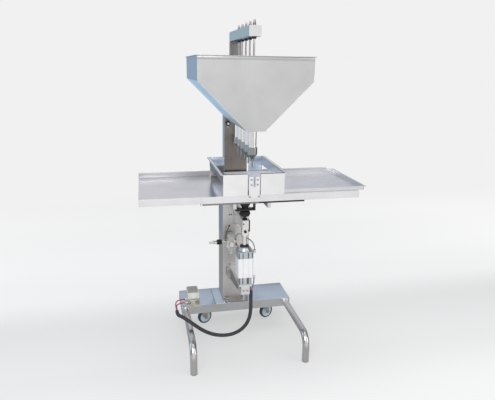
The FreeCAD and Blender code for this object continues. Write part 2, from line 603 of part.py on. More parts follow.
def make_drive():
    arm = box(("-arm_width / 2", "arm_front", "arm_bottom"), ("arm_width / 2", "mast_front", "arm_top"))
    tongue = box(("-tongue_width / 2", "dose_axis - tongue_depth / 2", "arm_bottom - tongue_drop"),
                 ("tongue_width / 2", "dose_axis + tongue_depth / 2", "arm_bottom"))
    pin_z = "arm_bottom - clevis_pin_drop"
    bore = "clevis_pin_diameter / 2 + fit_gap"
    hole = rod(("0", "dose_axis - tongue_depth", pin_z), bore, "2 * tongue_depth", "y")
    keep("drive_arm", cut(fuse(arm, tongue), hole))

    inner = "tongue_depth / 2 + clevis_gap"
    outer = inner + " + clevis_cheek"
    block = box(("-clevis_width / 2", "dose_axis - (%s)" % outer, "clevis_bottom"),
                ("clevis_width / 2", "dose_axis + (%s)" % outer, "clevis_top"))
    gap = box(("-clevis_width", "dose_axis - (%s)" % inner, "clevis_bottom + clevis_web"),
              ("clevis_width", "dose_axis + (%s)" % inner, "clevis_top + 1"))
    eye = rod(("0", "dose_axis - clevis_width", pin_z), bore, "2 * clevis_width", "y")
    keep("rod_clevis", cut(block, gap, eye))

    shank = rod(("0", "dose_axis - (%s)" % outer, pin_z), "clevis_pin_diameter / 2", "2 * (%s)" % outer, "y")
    head = rod(("0", "dose_axis - (%s)" % outer, pin_z), "pin_head_radius", "pin_head_height", "-y")
    clip = rod(("0", "dose_axis + (%s)" % outer, pin_z), "pin_head_radius", "pin_clip_height", "y")
    keep("clevis_pin", fuse(shank, head, clip))

    shaft = rod(("0", "dose_axis", "piston_rest"), "rod_radius", "rod_nut_bottom - piston_rest")
    piston = rod(("0", "dose_axis", "piston_rest"), "cylinder_bore / 2 - piston_gap", "piston_thickness")
    nut = hexagon(("0", "dose_axis", "rod_nut_bottom"), "rod_nut", "rod_nut_height")
    keep("piston_rod", fuse(shaft, piston, nut))

    foot = "arm_top + buffer_foot_height"
    swell = "arm_top + buffer_neck"
    bulge = "(buffer_top - arm_top - buffer_neck)"
    profile = [("0", "arm_top"), ("buffer_foot", "arm_top"), ("buffer_foot", foot),
               ("buffer_stem", foot + " + 1"), ("buffer_stem", swell + " - 2"),
               ("0.55 * buffer_radius", swell),
               ("0.84 * buffer_radius", "%s + 0.16 * %s" % (swell, bulge)),
               ("buffer_radius", "%s + 0.36 * %s" % (swell, bulge)),
               ("buffer_radius", "%s + 0.56 * %s" % (swell, bulge)),
               ("0.88 * buffer_radius", "%s + 0.84 * %s" % (swell, bulge)),
               ("0.65 * buffer_radius", "buffer_top"), ("0", "buffer_top")]
    keep("stop_buffer", turned(profile, ("0", "dose_axis", "0")))


# Dose stop under the table
FLUTES = 8


def make_dose_stop():
    lug = "deck_bottom - stop_lug"
    half = [("stop_half", "stop_bar_bottom"), ("stop_half", lug), ("stop_half + stop_foot", lug),
            ("stop_half + stop_foot", "deck_bottom"), ("stop_half - stop_sheet", "deck_bottom"),
            ("stop_half - stop_sheet", "stop_bar_top")]
    other = [("-(%s)" % reach, height) for reach, height in half]
    strap = prism("XZ_Plane", half + other[::-1], "dose_axis - stop_depth / 2", "dose_axis + stop_depth / 2")
    bore = "screw_diameter / 2 + fit_gap"
    hole = rod(("0", "dose_axis", "stop_bar_bottom - 1"), bore, "stop_bar_sheet + 2")
    keep("stop_bracket", cut(strap, hole))

    bottom = "stop_bar_top + knob_gap"
    top = bottom + " + knob_height"
    profile = [(bore, bottom), ("knob_hub_radius", bottom),
               ("knob_hub_radius + 1", bottom + " + knob_hub_height"),
               ("knob_radius - knob_edge / 2", bottom + " + knob_cone - knob_edge"),
               ("knob_radius", bottom + " + knob_cone"), ("knob_radius", top + " - knob_edge"),
               ("knob_radius - knob_edge", top), (bore, top)]
    knob = turned(profile, ("0", "dose_axis", "0"))
    reach = "(knob_radius + 2 * flute_radius / 3)"
    flutes = []
    for index in range(FLUTES):
        angle = 360 * (index + 0.5) / FLUTES
        x = "%s * cos(%g deg)" % (reach, angle)
        y = "dose_axis + %s * sin(%g deg)" % (reach, angle)
        flutes.append(rod((x, y, bottom + " + flute_rise"), "flute_radius", "knob_height"))
    keep("dose_knob", cut(knob, *flutes))
    keep("stop_screw", rod(("0", "dose_axis", "stop_bar_bottom"), "screw_diameter / 2",
                           "stop_bar_sheet + knob_height + screw_above_knob"))


# Nozzle row and hopper
def make_hopper():
    def funnel(half, foot, shoulder, bottom, top, front, back):
        outline = [("-(%s)" % foot, bottom), (foot, bottom), (half, shoulder), (half, top),
                   ("-(%s)" % half, top), ("-(%s)" % half, shoulder)]
        return prism("XZ_Plane", outline, front, back)

    half = "hopper_width / 2"
    outer = funnel(half, "hopper_base / 2", "hopper_shoulder", "hopper_bottom", "hopper_top",
                   "hopper_front", "hopper_back")
    inner = funnel(half + " - hopper_sheet", "hopper_base / 2 - hopper_sheet / 2",
                   "hopper_shoulder + hopper_sheet / 2", "hopper_bottom + hopper_sheet", "hopper_top + 1",
                   "hopper_front + hopper_sheet", "hopper_back - hopper_sheet")
    rim = box(("-%s - hopper_rim" % half, "hopper_front - hopper_rim", "hopper_top - hopper_sheet"),
              ("%s + hopper_rim" % half, "hopper_back + hopper_rim", "hopper_top"))
    mouth = box(("-%s + rim_lap" % half, "hopper_front + rim_lap", "hopper_top - hopper_sheet - 1"),
                ("%s - rim_lap" % half, "hopper_back - rim_lap", "hopper_top + 1"))
    bores = [rod(("0", y, "hopper_bottom - 1"), "tube_diameter / 2 + fit_gap", "hopper_sheet + 2")
             for y in stations()]
    keep("hopper_shell", cut(fuse(cut(outer, inner), cut(rim, mouth)), *bores))


def make_nozzles():
    low = "hopper_bottom + hopper_sheet"
    bar = box(("-manifold_width / 2", "row_middle - manifold_length / 2", low),
              ("manifold_width / 2", "row_middle + manifold_length / 2", low + " + manifold_height"))
    bores = [rod(("0", y, low + " - 1"), "tube_diameter / 2 + fit_gap", "manifold_height + 2")
             for y in stations()]
    keep("nozzle_manifold", cut(bar, *bores))

    def tube(y):
        high = low + " + manifold_height"
        return cut(rod(("0", y, "tube_bottom"), "tube_diameter / 2", "%s - tube_bottom" % high),
                   rod(("0", y, "tube_bottom - 1"), "tube_bore / 2", "%s - tube_bottom + 2" % high))

    def nozzle(y):
        outside = "nozzle_diameter / 2"
        socket = "tube_diameter / 2 + fit_gap"
        step = "nozzle_cone_end - needle_step"
        profile = [("needle_bore / 2", "nozzle_tip"), ("needle_diameter / 2", "nozzle_tip + needle_taper"),
                   ("needle_diameter / 2", step), ("cone_radius - 1", step + " + 1"),
                   ("cone_radius", "nozzle_cone_end"), (outside, "nozzle_shoulder"),
                   (outside, "tube_bottom + nozzle_collar"), (socket, "tube_bottom + nozzle_collar"),
                   (socket, "tube_bottom"), ("tube_bore / 2", "tube_bottom"),
                   ("tube_bore / 2", "nozzle_shoulder + cone_wall"), ("needle_bore / 2", "nozzle_cone_end")]
        return turned(profile, ("0", y, "0"))

    keep("metering_tubes", group(*[tube(y) for y in stations()]))
    keep("filling_nozzles", group(*[nozzle(y) for y in stations()]))


def make_hopper_mounts():
    plate = box(("-bracket_width / 2", "hopper_back", "bracket_low"),
                ("bracket_width / 2", "upper_front", "bracket_high"))
    back = box(("-seat_width / 2", "upper_front - seat_sheet", "hopper_bottom - seat_drop"),
               ("seat_width / 2", "upper_front", "hopper_bottom"))
    ledge = box(("-ledge_width / 2", "hopper_back - seat_depth", "hopper_bottom - seat_sheet"),
                ("ledge_width / 2", "upper_front", "hopper_bottom"))
    keep("hopper_brackets", group(plate, fuse(back, ledge)))

    def knob(side):
        rim = "clamp_knob_diameter / 2"
        profile = [("0", "0"), ("clamp_neck_radius", "0"), ("clamp_neck_radius", "clamp_neck_length"),
                   (rim, "clamp_neck_length + clamp_edge"), (rim, "clamp_knob_length - clamp_edge"),
                   (rim + " - clamp_edge", "clamp_knob_length"), ("0", "clamp_knob_length")]
        return turned(profile, ("%d * clamp_spread" % side, "upper_front - seat_sheet",
                                "hopper_bottom - clamp_drop"), "-y")

    keep("clamp_knobs", group(*mirror_pair(knob)))


# Table
def make_table():
    top = "table_height"
    low = "deck_bottom"
    skirt = "table_height - flange_drop"
    front = "table_front"
    inside = "table_front + table_sheet"
    fence = "table_back - table_sheet"
    lip_outline = [(front, skirt), (inside, skirt), (inside, low), ("table_back", low)]
    keep("table_deck", prism("YZ_Plane", lip_outline + [("table_back", top), (front, top)],
                             "-deck_half", "deck_half"))

    wing_outline = lip_outline + [("table_back", top + " + fence_height"), (fence, top + " + fence_height"),
                                  (fence, top), (front, top)]
    for side, word in ((-1, "left"), (1, "right")):
        sheet_part = prism("YZ_Plane", wing_outline, *spans(side, "deck_half", "wing_end"))
        hem = across(side, "wing_end - table_sheet", "wing_end", (inside, low + " - hem"),
                     ("table_back", low))
        lip = across(side, "deck_half", "deck_half + table_sheet", (inside, "rail_bottom"),
                     ("table_back - lip_setback", low))
        keep("table_wing_" + word, fuse(sheet_part, hem, lip))


def make_table_frame():
    """Four rails under the deck and the two bent arms that carry them from the column."""
    near = "table_front + table_sheet + rail_inset"
    near_back = near + " + rail_width"
    far = "column_front"
    far_front = "column_front - rail_width"
    rails = []
    for start, end in ((near, near_back), (far_front, far)):
        rails.append(box(("-rail_half", start, "rail_bottom"), ("rail_half", end, "deck_bottom")))
    for side in (-1, 1):
        rails.append(across(side, "rail_half - rail_width", "rail_half", (near_back, "rail_bottom"),
                            (far_front, "deck_bottom")))
        arm = ("column_width / 2", "column_width / 2 + arm_rail_width")
        rails.append(across(side, *arm, (near_back, "arm_rail_bottom"), (far_front, "deck_bottom")))
        rails.append(across(side, *arm, (far_front, "arm_rail_bottom"), (far, "rail_bottom")))
        rails.append(across(side, *arm, (far, "arm_rail_bottom"), ("column_back", "collar_top")))
    keep("table_frame", fuse(*rails))


def make_tray():
    left = "tray_right - tray_length"
    back = "table_back - table_sheet - tray_side_gap"
    front = back + " - tray_width"
    high = "tray_bottom + tray_height"

    def inset(amount, low, top):
        return box((left + " + " + amount, front + " + " + amount, low),
                   ("tray_right - (%s)" % amount, "%s - (%s)" % (back, amount), top))

    outer = rounded(inset("tray_rim", "tray_bottom", high), "tray_corner", "z")
    rim = rounded(inset("0", high + " - tray_rim_sheet", high), "tray_rim_corner", "z")
    inner = inset("tray_rim + tray_sheet", "tray_bottom + tray_sheet", high + " + 1")
    keep("product_tray", cut(fuse(outer, rim), inner))


# Guard over the product path
def make_guard():
    top = "guard_top"
    passage = "table_height + passage_height"
    inside = "guard_half - guard_sheet"
    panel_back = "table_front + guard_sheet"
    back = "table_back"
    for side, word in ((-1, "left"), (1, "right")):
        panel = across(side, "panel_gap", "guard_half", ("table_front", "table_height"), (panel_back, top))
        wall = across(side, inside, "guard_half", (panel_back, passage), (back, top))
        post = across(side, inside, "guard_half", (back + " - guard_post", "table_height"), (back, passage))
        rear = across(side, "back_gap", inside, (back + " - guard_sheet", "table_height"), (back, top))
        rim = across(side, "guard_half", "guard_half + guard_rim", (panel_back, top + " - guard_sheet"),
                     (back, top))
        keep("guard_" + word, fuse(panel, wall, post, rear, rim))

    low = "table_height - slot_plate_drop"
    high = "table_height + slot_plate_top"
    slot = "table_height + slot_bottom"
    half = [("slot_plate_width / 2", low), ("slot_plate_width / 2", high), ("slot_width / 2", high),
            ("slot_width / 2", slot)]
    other = [("-(%s)" % reach, height) for reach, height in half]
    keep("slotted_plate", prism("XZ_Plane", half + other[::-1], "table_front - slot_plate_sheet",
                                "table_front"))


# Air cylinder and its shelf
def make_cylinder():
    side = "cylinder_side / 2"

    def square(half, low, high):
        block = box(("-(%s)" % half, "dose_axis - %s" % half, low), (half, "dose_axis + %s" % half, high))
        return rounded(block, "cylinder_corner", "z")

    front = "dose_axis - %s" % side
    grooves = []
    for hand in (-1, 1):
        x = "%d * groove_spread" % hand
        grooves.append(box((x + " - groove_width / 2", front + " - 1", "barrel_bottom - 1"),
                           (x + " + groove_width / 2", front + " + groove_depth", "barrel_top + 1")))
    bore = rod(("0", "dose_axis", "barrel_bottom - 1"), "cylinder_bore / 2", "barrel_length + 2")
    keep("cylinder_barrel", cut(square(side, "barrel_bottom", "barrel_top"), bore, *grooves))

    boss = turned([("0", "head_top"), (side + " - boss_collar", "head_top"),
                   ("boss_radius", "boss_top - boss_collar"), ("boss_radius", "boss_top"),
                   ("0", "boss_top")], ("0", "dose_axis", "0"))
    passage = rod(("0", "dose_axis", "barrel_top - 1"), "rod_radius + fit_gap",
                  "head_height + boss_height + 2")
    keep("cylinder_head", cut(fuse(square(side, "barrel_top", "head_top"), boss), passage))

    stud = rod(("0", "dose_axis", "stud_end"), "stud_radius", "stud_length")
    keep("cylinder_cap", fuse(square("cap_side / 2", "shelf_top", "barrel_bottom"), stud))

    wall = "back_plate_front"
    low = "shelf_bottom - cheek_height"
    apron = "shelf_front + shelf_apron"
    parts = [box(("-shelf_half", "shelf_front", "shelf_bottom"), ("shelf_half", wall, "shelf_top")),
             box(("-cheek_half", "shelf_front", low), ("cheek_half", apron, "shelf_bottom")),
             box(("-back_plate_half", wall, "back_plate_low"),
                 ("back_plate_half", "column_front", "back_plate_high"))]
    for hand in (-1, 1):
        parts.append(across(hand, "cheek_half - cheek_sheet", "cheek_half", (apron, low),
                            (wall, "shelf_bottom")))
    hole = rod(("0", "dose_axis", "shelf_bottom - 1"), "stud_radius + fit_gap", "shelf_sheet + 2")
    keep("cylinder_shelf", cut(fuse(*parts), hole))


def make_fasteners():
    """Bolt heads and nuts of the frame, one node of separate solids."""
    plate = "table_front - slot_plate_sheet"
    seat = "upper_front - seat_sheet"
    slot_screws = [("corner_screw_spread", "table_height - corner_screw_drop"),
                   ("slot_screw_spread", "table_height + slot_bottom + low_screw_rise"),
                   ("slot_screw_spread", "table_height + slot_plate_top - high_screw_drop")]
    heads = []
    for side in (-1, 1):
        def spot(spread, y, z):
            return ("%d * %s" % (side, spread), y, z)
        heads.append(hexagon(spot("base_bolt_spread", "foot_front + base_bolt_setback", "foot_top"),
                             "base_bolt", "base_bolt_height"))
        for z in ("bracket_low + bracket_bolt_inset", "bracket_high - bracket_bolt_inset"):
            heads.append(hexagon(spot("bracket_bolt_spread", "upper_front", z), "bracket_bolt",
                                 "bracket_bolt_height", "y"))
        for z in ("back_plate_low + plate_bolt_low_inset", "back_plate_high - plate_bolt_high_inset"):
            heads.append(hexagon(spot("plate_bolt_spread", "back_plate_front", z), "bracket_bolt",
                                 "plate_bolt_height", "-y"))
        for spread, z in slot_screws:
            heads.append(rod(spot(spread, plate, z), "screw_head_radius", "screw_head_height", "-y"))
        heads.append(rod(spot("apron_screw_spread", "shelf_front", "shelf_bottom - cheek_height / 2"),
                         "apron_screw_radius", "apron_screw_height", "-y"))
        heads.append(rod(spot("clamp_spread", seat, "hopper_bottom - seat_screw_drop"), "seat_screw_radius",
                         "apron_screw_height", "-y"))
    nut = "shelf_bottom - stud_nut_height"
    heads.append(cut(hexagon(("0", "dose_axis", nut), "stud_nut", "stud_nut_height"),
                     rod(("0", "dose_axis", nut + " - 1"), "stud_radius + fit_gap", "stud_nut_height + 2")))
    keep("frame_bolts", group(*heads))


# Air service on the column
def make_air_service():
    x = "regulator_x"
    y = "regulator_middle"
    block = rounded(box(("regulator_x - regulator_width / 2", "regulator_front", "regulator_low"),
                        ("regulator_x + regulator_width / 2", "regulator_back", "regulator_high")),
                    "regulator_corner", "z")
    pad = box(("regulator_x - pad_width / 2", "regulator_back", "regulator_low + pad_inset"),
              ("regulator_x + pad_width / 2", "column_front", "regulator_high - pad_inset"))
    bonnet = rod((x, y, "regulator_high"), "bonnet_radius", "bonnet_height")
    keep("regulator_body", fuse(block, pad, bonnet))

    low = "regulator_low - bowl_height"
    ring = "regulator_low - bowl_ring"
    bowl = turned([("0", low), ("bowl_radius - bowl_nose", low),
                   ("bowl_radius - 2", low + " + bowl_nose"), ("bowl_radius - 1", ring + " - 1"),
                   ("bowl_radius", ring), ("bowl_radius", "regulator_low"), ("0", "regulator_low")],
                  (x, y, "0"))
    drain = rod((x, y, low + " - drain_height"), "drain_radius", "drain_height")
    keep("regulator_bowl", fuse(bowl, drain))

    base = "regulator_high + bonnet_height + knob_gap"
    top = base + " + regulator_knob_height"
    rim = "regulator_knob_radius"
    profile = [("0", base), (rim + " - 1", base), (rim, base + " + 2"),
               (rim + " - 1", top + " - regulator_knob_edge"), (rim + " - regulator_knob_edge - 1", top),
               ("0", top)]
    keep("regulator_knob", turned(profile, (x, y, "0")))

    glass = "gauge_depth - gauge_glass"
    dial = turned([("0", "0"), ("gauge_stem + 1", "0"), ("gauge_stem + 1", "gauge_stem"),
                   ("gauge_radius", "gauge_stem"), ("gauge_radius", "gauge_depth"),
                   ("gauge_radius - gauge_bezel", "gauge_depth"), ("gauge_radius - gauge_bezel", glass),
                   ("0", glass)],
                  (x, "regulator_front", "regulator_low + gauge_rise"), "-y")
    keep("pressure_gauge", dial)

    high = "shelf_bottom - valve_drop"
    valve = box(("-cheek_half - valve_width", "back_plate_front - valve_depth", high + " - valve_height"),
                ("-cheek_half", "back_plate_front", high))
    keep("foot_valve_block", rounded(valve, "regulator_corner", "y"))


def make_inlet():
    """Stem and nipple of the air inlet, and the sleeve that shuts it off."""
    side = "-column_width / 2"
    nipple = "inlet_length - inlet_nipple_length"
    collar = nipple + " - inlet_collar"
    neck = "inlet_core - inlet_shoulder / 6"
    stem = turned([("0", "0"), ("inlet_core", "0"), ("inlet_core", "inlet_shoulder"),
                   (neck, "inlet_shoulder"), (neck, collar), ("inlet_collar_radius", collar),
                   ("inlet_collar_radius", nipple),
                   ("inlet_nipple_radius", nipple), ("inlet_nipple_radius", "inlet_length"),
                   ("inlet_bore", "inlet_length"), ("inlet_bore", nipple), ("0", nipple)],
                  (side, "inlet_y", "inlet_height"), "-x")
    keep("air_fittings", group(stem, *hose_fittings()))
    bore = "inlet_core - sleeve_gap"
    edge = "inlet_radius - sleeve_chamfer"
    ring = turned([(bore, "0"), (edge, "0"), ("inlet_radius", "sleeve_chamfer"),
                   ("inlet_radius", "inlet_sleeve - sleeve_chamfer"), (edge, "inlet_sleeve"),
                   (bore, "inlet_sleeve")], (side + " - inlet_stand", "inlet_y", "inlet_height"), "-x")
    keep("shut_off_sleeve", ring)


def hose_fittings():
    """Push-in fittings and elbows that the hoses run into."""
    r = "fitting_radius"
    n = "fitting_length"
    left = "regulator_x - regulator_width / 2"
    right = "regulator_x + regulator_width / 2"
    head = "barrel_top + head_port_rise"
    cap = "barrel_bottom - cap_port_drop"
    outlet = "regulator_low + outlet_rise"

    def elbow(at, length, direction, rise, turn):
        """A stub out of a port with a socket at right angles near its end."""
        x, y, z = at
        sign = "+" if direction == "x" else "-"
        corner = "%s %s (%s - fitting_radius - elbow_wall)" % (x, sign, length)
        return fuse(rod(at, "fitting_radius + elbow_wall", length, direction),
                    rod((corner, y, z), r, rise, turn))

    return [
        rod(("regulator_x - 4", "column_front", "supply_height"), r, n, "-y"),
        elbow((left, "regulator_middle", outlet + " + 4"), "elbow_reach", "-x", n, "z"),
        elbow((right, "regulator_middle", outlet + " + 6"), "elbow_reach", "x", n, "z"),
        elbow((right, "regulator_middle - 4", "regulator_low + return_rise"), "elbow_reach", "x", n, "-y"),
        elbow(("cylinder_side / 2", "dose_axis", head), "elbow_reach + 6", "x", "head_socket", "z"),
        rod(("-18", "dose_axis + cylinder_side / 2", head), r, n, "y"),
        elbow(("cap_side / 2", "dose_axis", cap), "elbow_reach + 12", "x", "cap_socket", "-z"),
        rod(("feed_offset", "back_plate_front", "feed_height"), r, n, "-y"),
        rod(("pedal_left + 4", "pedal_front + 28", "pedal_body_top - 13"), r, "2 * fitting_length", "-x"),
        rod(("pedal_left + 4", "pedal_front + 12", "pedal_body_top - 25"), r, "2 * fitting_length", "-x"),
    ]


# Hoses, each along a route of hand-picked points
ROUTES = {
    "hose_sleeve": [
        (33, -187, 316), (33, -187, 272), (34, -187, 223), (30, -186, 174), (14, -184, 131),
        (-18, -182, 97), (-62, -179, 78), (-112, -178, 77), (-162, -181, 92), (-206, -190, 122),
        (-240, -206, 158), (-277, -196, 186), (-306, -160, 193), (-326, -120, 182), (-326, -80, 182)],
    "pedal_hose_upper": [
        (-328, -80, 185), (-328, -54, 185), (-329, -25, 188), (-325, 8, 190), (-303, 30, 189),
        (-277, 30, 189)],
    "pedal_hose_lower": [
        (-324, -80, 179), (-324, -59, 179), (-325, -34, 178), (-323, -7, 177), (-304, 14, 177),
        (-277, 14, 177)],
    "feed_hose": [
        (30, -184, 316), (30, -184, 329), (30, -168, 341), (30, -142, 344), (29, -104, 342),
        (29, -62, 341), (29, -18, 340), (29, 26, 340)],
    "cap_hose": [(37, -190, 316), (37, -190, 330), (45, -183, 346), (50, -175, 361), (50, -175, 377)],
    "head_hose": [
        (-6, 16, 514), (-6, 16, 528), (0, 8, 544), (6, -12, 556), (6, -40, 566), (3, -72, 573),
        (6, -103, 575), (20, -130, 574), (37, -149, 567), (47, -163, 555), (50, -175, 541),
        (50, -175, 528)],
    "cylinder_hose": [
        (-6, 4, 492), (-6, -16, 492), (-5, -44, 499), (-9, -74, 508), (-18, -103, 514),
        (-18, -129, 514)],
    "supply_hose": [
        (-60, 16, 512), (-60, 16, 532), (-58, 14, 554), (-50, 13, 573), (-41, 20, 585),
        (-37, 32, 588)],
}

# How much of a run the bend at its end may take
BEND_SHARE = 0.45

# The sizes that the routes are drawn for, and which end of each hose hangs on what
DRAWN_BARREL_TOP = 497
DRAWN_BASE_HALF = 295
DRAWN_BASE_TOP = 160
ENDS = {"hose_sleeve": ("cylinder", "pedal"), "pedal_hose_upper": ("pedal", "pedal"),
        "pedal_hose_lower": ("pedal", "pedal")}


def follow(label, points):
    """A route moved with what carries its two ends, with an even share in between."""
    lift = number("barrel_top") - DRAWN_BARREL_TOP
    aside = DRAWN_BASE_HALF - number("base_width") / 2
    moved = {"cylinder": Vector(0, 0, lift),
             "pedal": Vector(aside, 0, number("base_top") - DRAWN_BASE_TOP)}
    first, last = [moved[end] for end in ENDS.get(label, ("cylinder", "cylinder"))]
    steps = len(points) - 1
    return [Vector(*point) + first * (1 - index / steps) + last * (index / steps)
            for index, point in enumerate(points)]


def make_hose(label, corners, diameter):
    """A hose as straight runs joined by tangent arcs, each as large as its two runs allow."""
    edges = []
    start = corners[0]
    length = 0.0
    for before, corner, after in zip(corners, corners[1:], corners[2:]):
        incoming = (before - corner).normalize()
        outgoing = (after - corner).normalize()
        turn = math.pi - incoming.getAngle(outgoing)
        reach = BEND_SHARE * min((corner - before).Length, (after - corner).Length)
        radius = reach / math.tan(turn / 2)
        first = corner + incoming * reach
        last = corner + outgoing * reach
        bisector = (incoming + outgoing).normalize()
        centre = corner + bisector * math.hypot(reach, radius)
        middle = centre + (corner - centre).normalize() * radius
        edges.append(Part.LineSegment(start, first).toShape())
        edges.append(Part.Arc(first, middle, last).toShape())
        length += (first - start).Length + radius * turn
        start = last
    edges.append(Part.LineSegment(start, corners[-1]).toShape())
    length += (corners[-1] - start).Length
    section = Part.Circle(corners[0], corners[1] - corners[0], diameter / 2).toShape()
    hose = doc.addObject("Part::Feature", label)
    hose.Shape = Part.Wire(edges).makePipeShell([Part.Wire([section])], True, True)
    print("%s: %.0f mm long" % (label, length))
    keep(label, hose)


def make_hoses():
    for label, points in ROUTES.items():
        size = "sleeve_diameter" if label == "hose_sleeve" else "hose_diameter"
        make_hose(label, follow(label, points), number(size))


# Foot pedal stored on the base
def make_pedal():
    toe = "pedal_front - pedal_toe"
    heel = "pedal_back + pedal_heel"
    foot_outline = [(toe, "base_top"), (heel, "base_top"), (heel, "base_top + pedal_base_height / 2"),
                    ("pedal_back", "pedal_floor"), ("pedal_front", "pedal_floor"),
                    (toe, "base_top + pedal_toe_height")]
    foot = prism("YZ_Plane", foot_outline, "pedal_left - pedal_base_flare", "pedal_right + pedal_base_flare")
    left = "pedal_left + pedal_body_inset"
    right = "pedal_right - pedal_body_inset"
    front = "pedal_front + pedal_body_inset"
    rear = "pedal_back - pedal_body_back"
    lid = "pedal_body_top - pedal_cheek_drop"
    body = box((left, front, "pedal_floor"), (right, rear, lid))
    cheek_outline = [(rear, "pedal_floor"), ("pedal_back - pedal_cheek_end", "pedal_floor"),
                     ("pedal_back - pedal_cheek_end", "pedal_pin_height + pedal_eye_rise"),
                     ("pedal_pin_y - pedal_eye", "pedal_pin_height + pedal_eye_rise"), (rear, lid)]
    cheeks = [prism("YZ_Plane", cheek_outline, start, start + " + pedal_cheek_sheet")
              for start in (left, right + " - pedal_cheek_sheet")]
    ports = [rod(("pedal_x + %d * port_spread" % side, front, "pedal_floor + port_rise"), "port_radius",
                 "port_depth", "-y") for side in (-1, 1)]
    hole = rod(("pedal_left", "pedal_pin_y", "pedal_pin_height"), "pedal_pin_radius + pin_fit",
               "pedal_width", "x")
    pin = rod(("pedal_left - pedal_pin_end", "pedal_pin_y", "pedal_pin_height"), "pedal_pin_radius",
              "pedal_width + 2 * pedal_pin_end", "x")
    keep("pedal_base", group(cut(fuse(foot, body, *cheeks, *ports), hole), pin))


def make_tread():
    low = "tread_top - tread_sheet"
    skirt = "tread_top - tread_skirt"
    front = "pedal_front - tread_nose"
    inside = "pedal_front - tread_nose + tread_sheet"
    outline = [(front, skirt), (inside, skirt), (inside, low),
               ("pedal_back - pedal_cheek_end", low + " - tread_sheet"), ("pedal_back", low),
               (inside + " - 1", "tread_top"), (front, "tread_top - tread_sheet + 1")]
    plate = prism("YZ_Plane", outline, "pedal_left + tread_side", "pedal_right - tread_side")
    eye = "pedal_pin_height - pedal_eye_rise"
    ear_outline = [("pedal_pin_y - ear_half - 3", low + " - 1"), ("pedal_pin_y - ear_half", eye),
                   ("pedal_pin_y + ear_half", eye), ("pedal_pin_y + pedal_eye", low + " - 2.5")]
    ears = [prism("YZ_Plane", ear_outline, start, start + " + ear_sheet")
            for start in ("pedal_left + ear_inset", "pedal_right - ear_inset - ear_sheet")]
    bore = rod(("pedal_left", "pedal_pin_y", "pedal_pin_height"), "pedal_pin_radius + tread_fit",
               "pedal_width", "x")
    keep("pedal_tread", cut(fuse(plate, *ears), bore))


make_base()
make_legs()
make_casters()
make_column()
make_upper_column()
make_mast()
make_beam()
make_plungers()
make_drive()
make_dose_stop()
make_hopper()
make_nozzles()
make_hopper_mounts()
make_table()
make_table_frame()
make_tray()
make_guard()
make_cylinder()
make_fasteners()
make_air_service()
make_inlet()
make_pedal()
make_tread()
make_hoses()

doc.recompute()
for piece in doc.Objects:
    if "Invalid" in piece.State or "Error" in piece.State:
        raise RuntimeError("%s (%s) failed: %s" % (piece.Name, piece.Label, piece.State))
for label, piece in PIECES.items():
    if piece.Shape.isNull() or not piece.Shape.isValid():
        raise RuntimeError("the shape of %s is not valid" % label)
for label, piece in PIECES.items():
    piece.Shape.exportStep("parts/%s.step" % label)
print("%d sub-parts" % len(PIECES))
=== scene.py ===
import math

import bmesh
import bpy
from mathutils import Matrix, Vector


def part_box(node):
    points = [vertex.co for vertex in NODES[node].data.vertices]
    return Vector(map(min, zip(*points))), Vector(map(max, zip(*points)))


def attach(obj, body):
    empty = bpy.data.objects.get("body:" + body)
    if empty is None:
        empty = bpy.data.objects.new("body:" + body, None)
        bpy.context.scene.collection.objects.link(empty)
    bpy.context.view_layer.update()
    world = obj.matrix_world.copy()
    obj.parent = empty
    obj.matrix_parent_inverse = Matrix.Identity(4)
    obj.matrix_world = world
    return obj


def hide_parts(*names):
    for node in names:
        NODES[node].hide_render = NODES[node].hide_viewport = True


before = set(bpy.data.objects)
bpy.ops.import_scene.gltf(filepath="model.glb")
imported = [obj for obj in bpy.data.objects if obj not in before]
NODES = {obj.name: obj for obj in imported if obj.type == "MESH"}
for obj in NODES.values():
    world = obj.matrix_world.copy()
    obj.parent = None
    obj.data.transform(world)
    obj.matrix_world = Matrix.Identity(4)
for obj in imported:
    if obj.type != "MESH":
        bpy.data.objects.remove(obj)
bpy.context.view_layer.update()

# Places are in millimetres from the machine's centre plane, the base's front edge and the floor
BASE_LOW, BASE_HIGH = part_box("base_beam")
CENTRE_PLANE = (BASE_LOW.x + BASE_HIGH.x) / 2
BASE_FRONT = BASE_LOW.y


def at(x, y, z):
    """A machine place in the frame's metres."""
    return Vector((CENTRE_PLANE + x / 1000, BASE_FRONT + y / 1000, z / 1000))


def back_from(point):
    """A frame point as machine millimetres."""
    return ((point.x - CENTRE_PLANE) * 1000, (point.y - BASE_FRONT) * 1000, point.z * 1000)


def node_box(name):
    """A CAD node's two corners in machine millimetres."""
    low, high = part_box(name)
    return back_from(low), back_from(high)


def middle(name):
    low, high = node_box(name)
    return [(start + end) / 2 for start, end in zip(low, high)]


def right(name):
    return node_box(name)[1][0]


def front(name):
    return node_box(name)[0][1]


def back(name):
    return node_box(name)[1][1]


def under(name):
    return node_box(name)[0][2]


def top(name):
    return node_box(name)[1][2]


# Faces of the solids that the added pieces lie on
BASE_TOP = top("base_beam")
FOOT_THICKNESS = 10
FOOT_TOP = BASE_TOP + FOOT_THICKNESS
COLUMN_SIDE = right("lower_column")
COLUMN_FRONT = 40
MAST_TUBE_FRONT = 66
DECK_FRONT = front("table_deck")
DECK_BACK = back("table_deck")
DECK_TOP = top("table_deck")
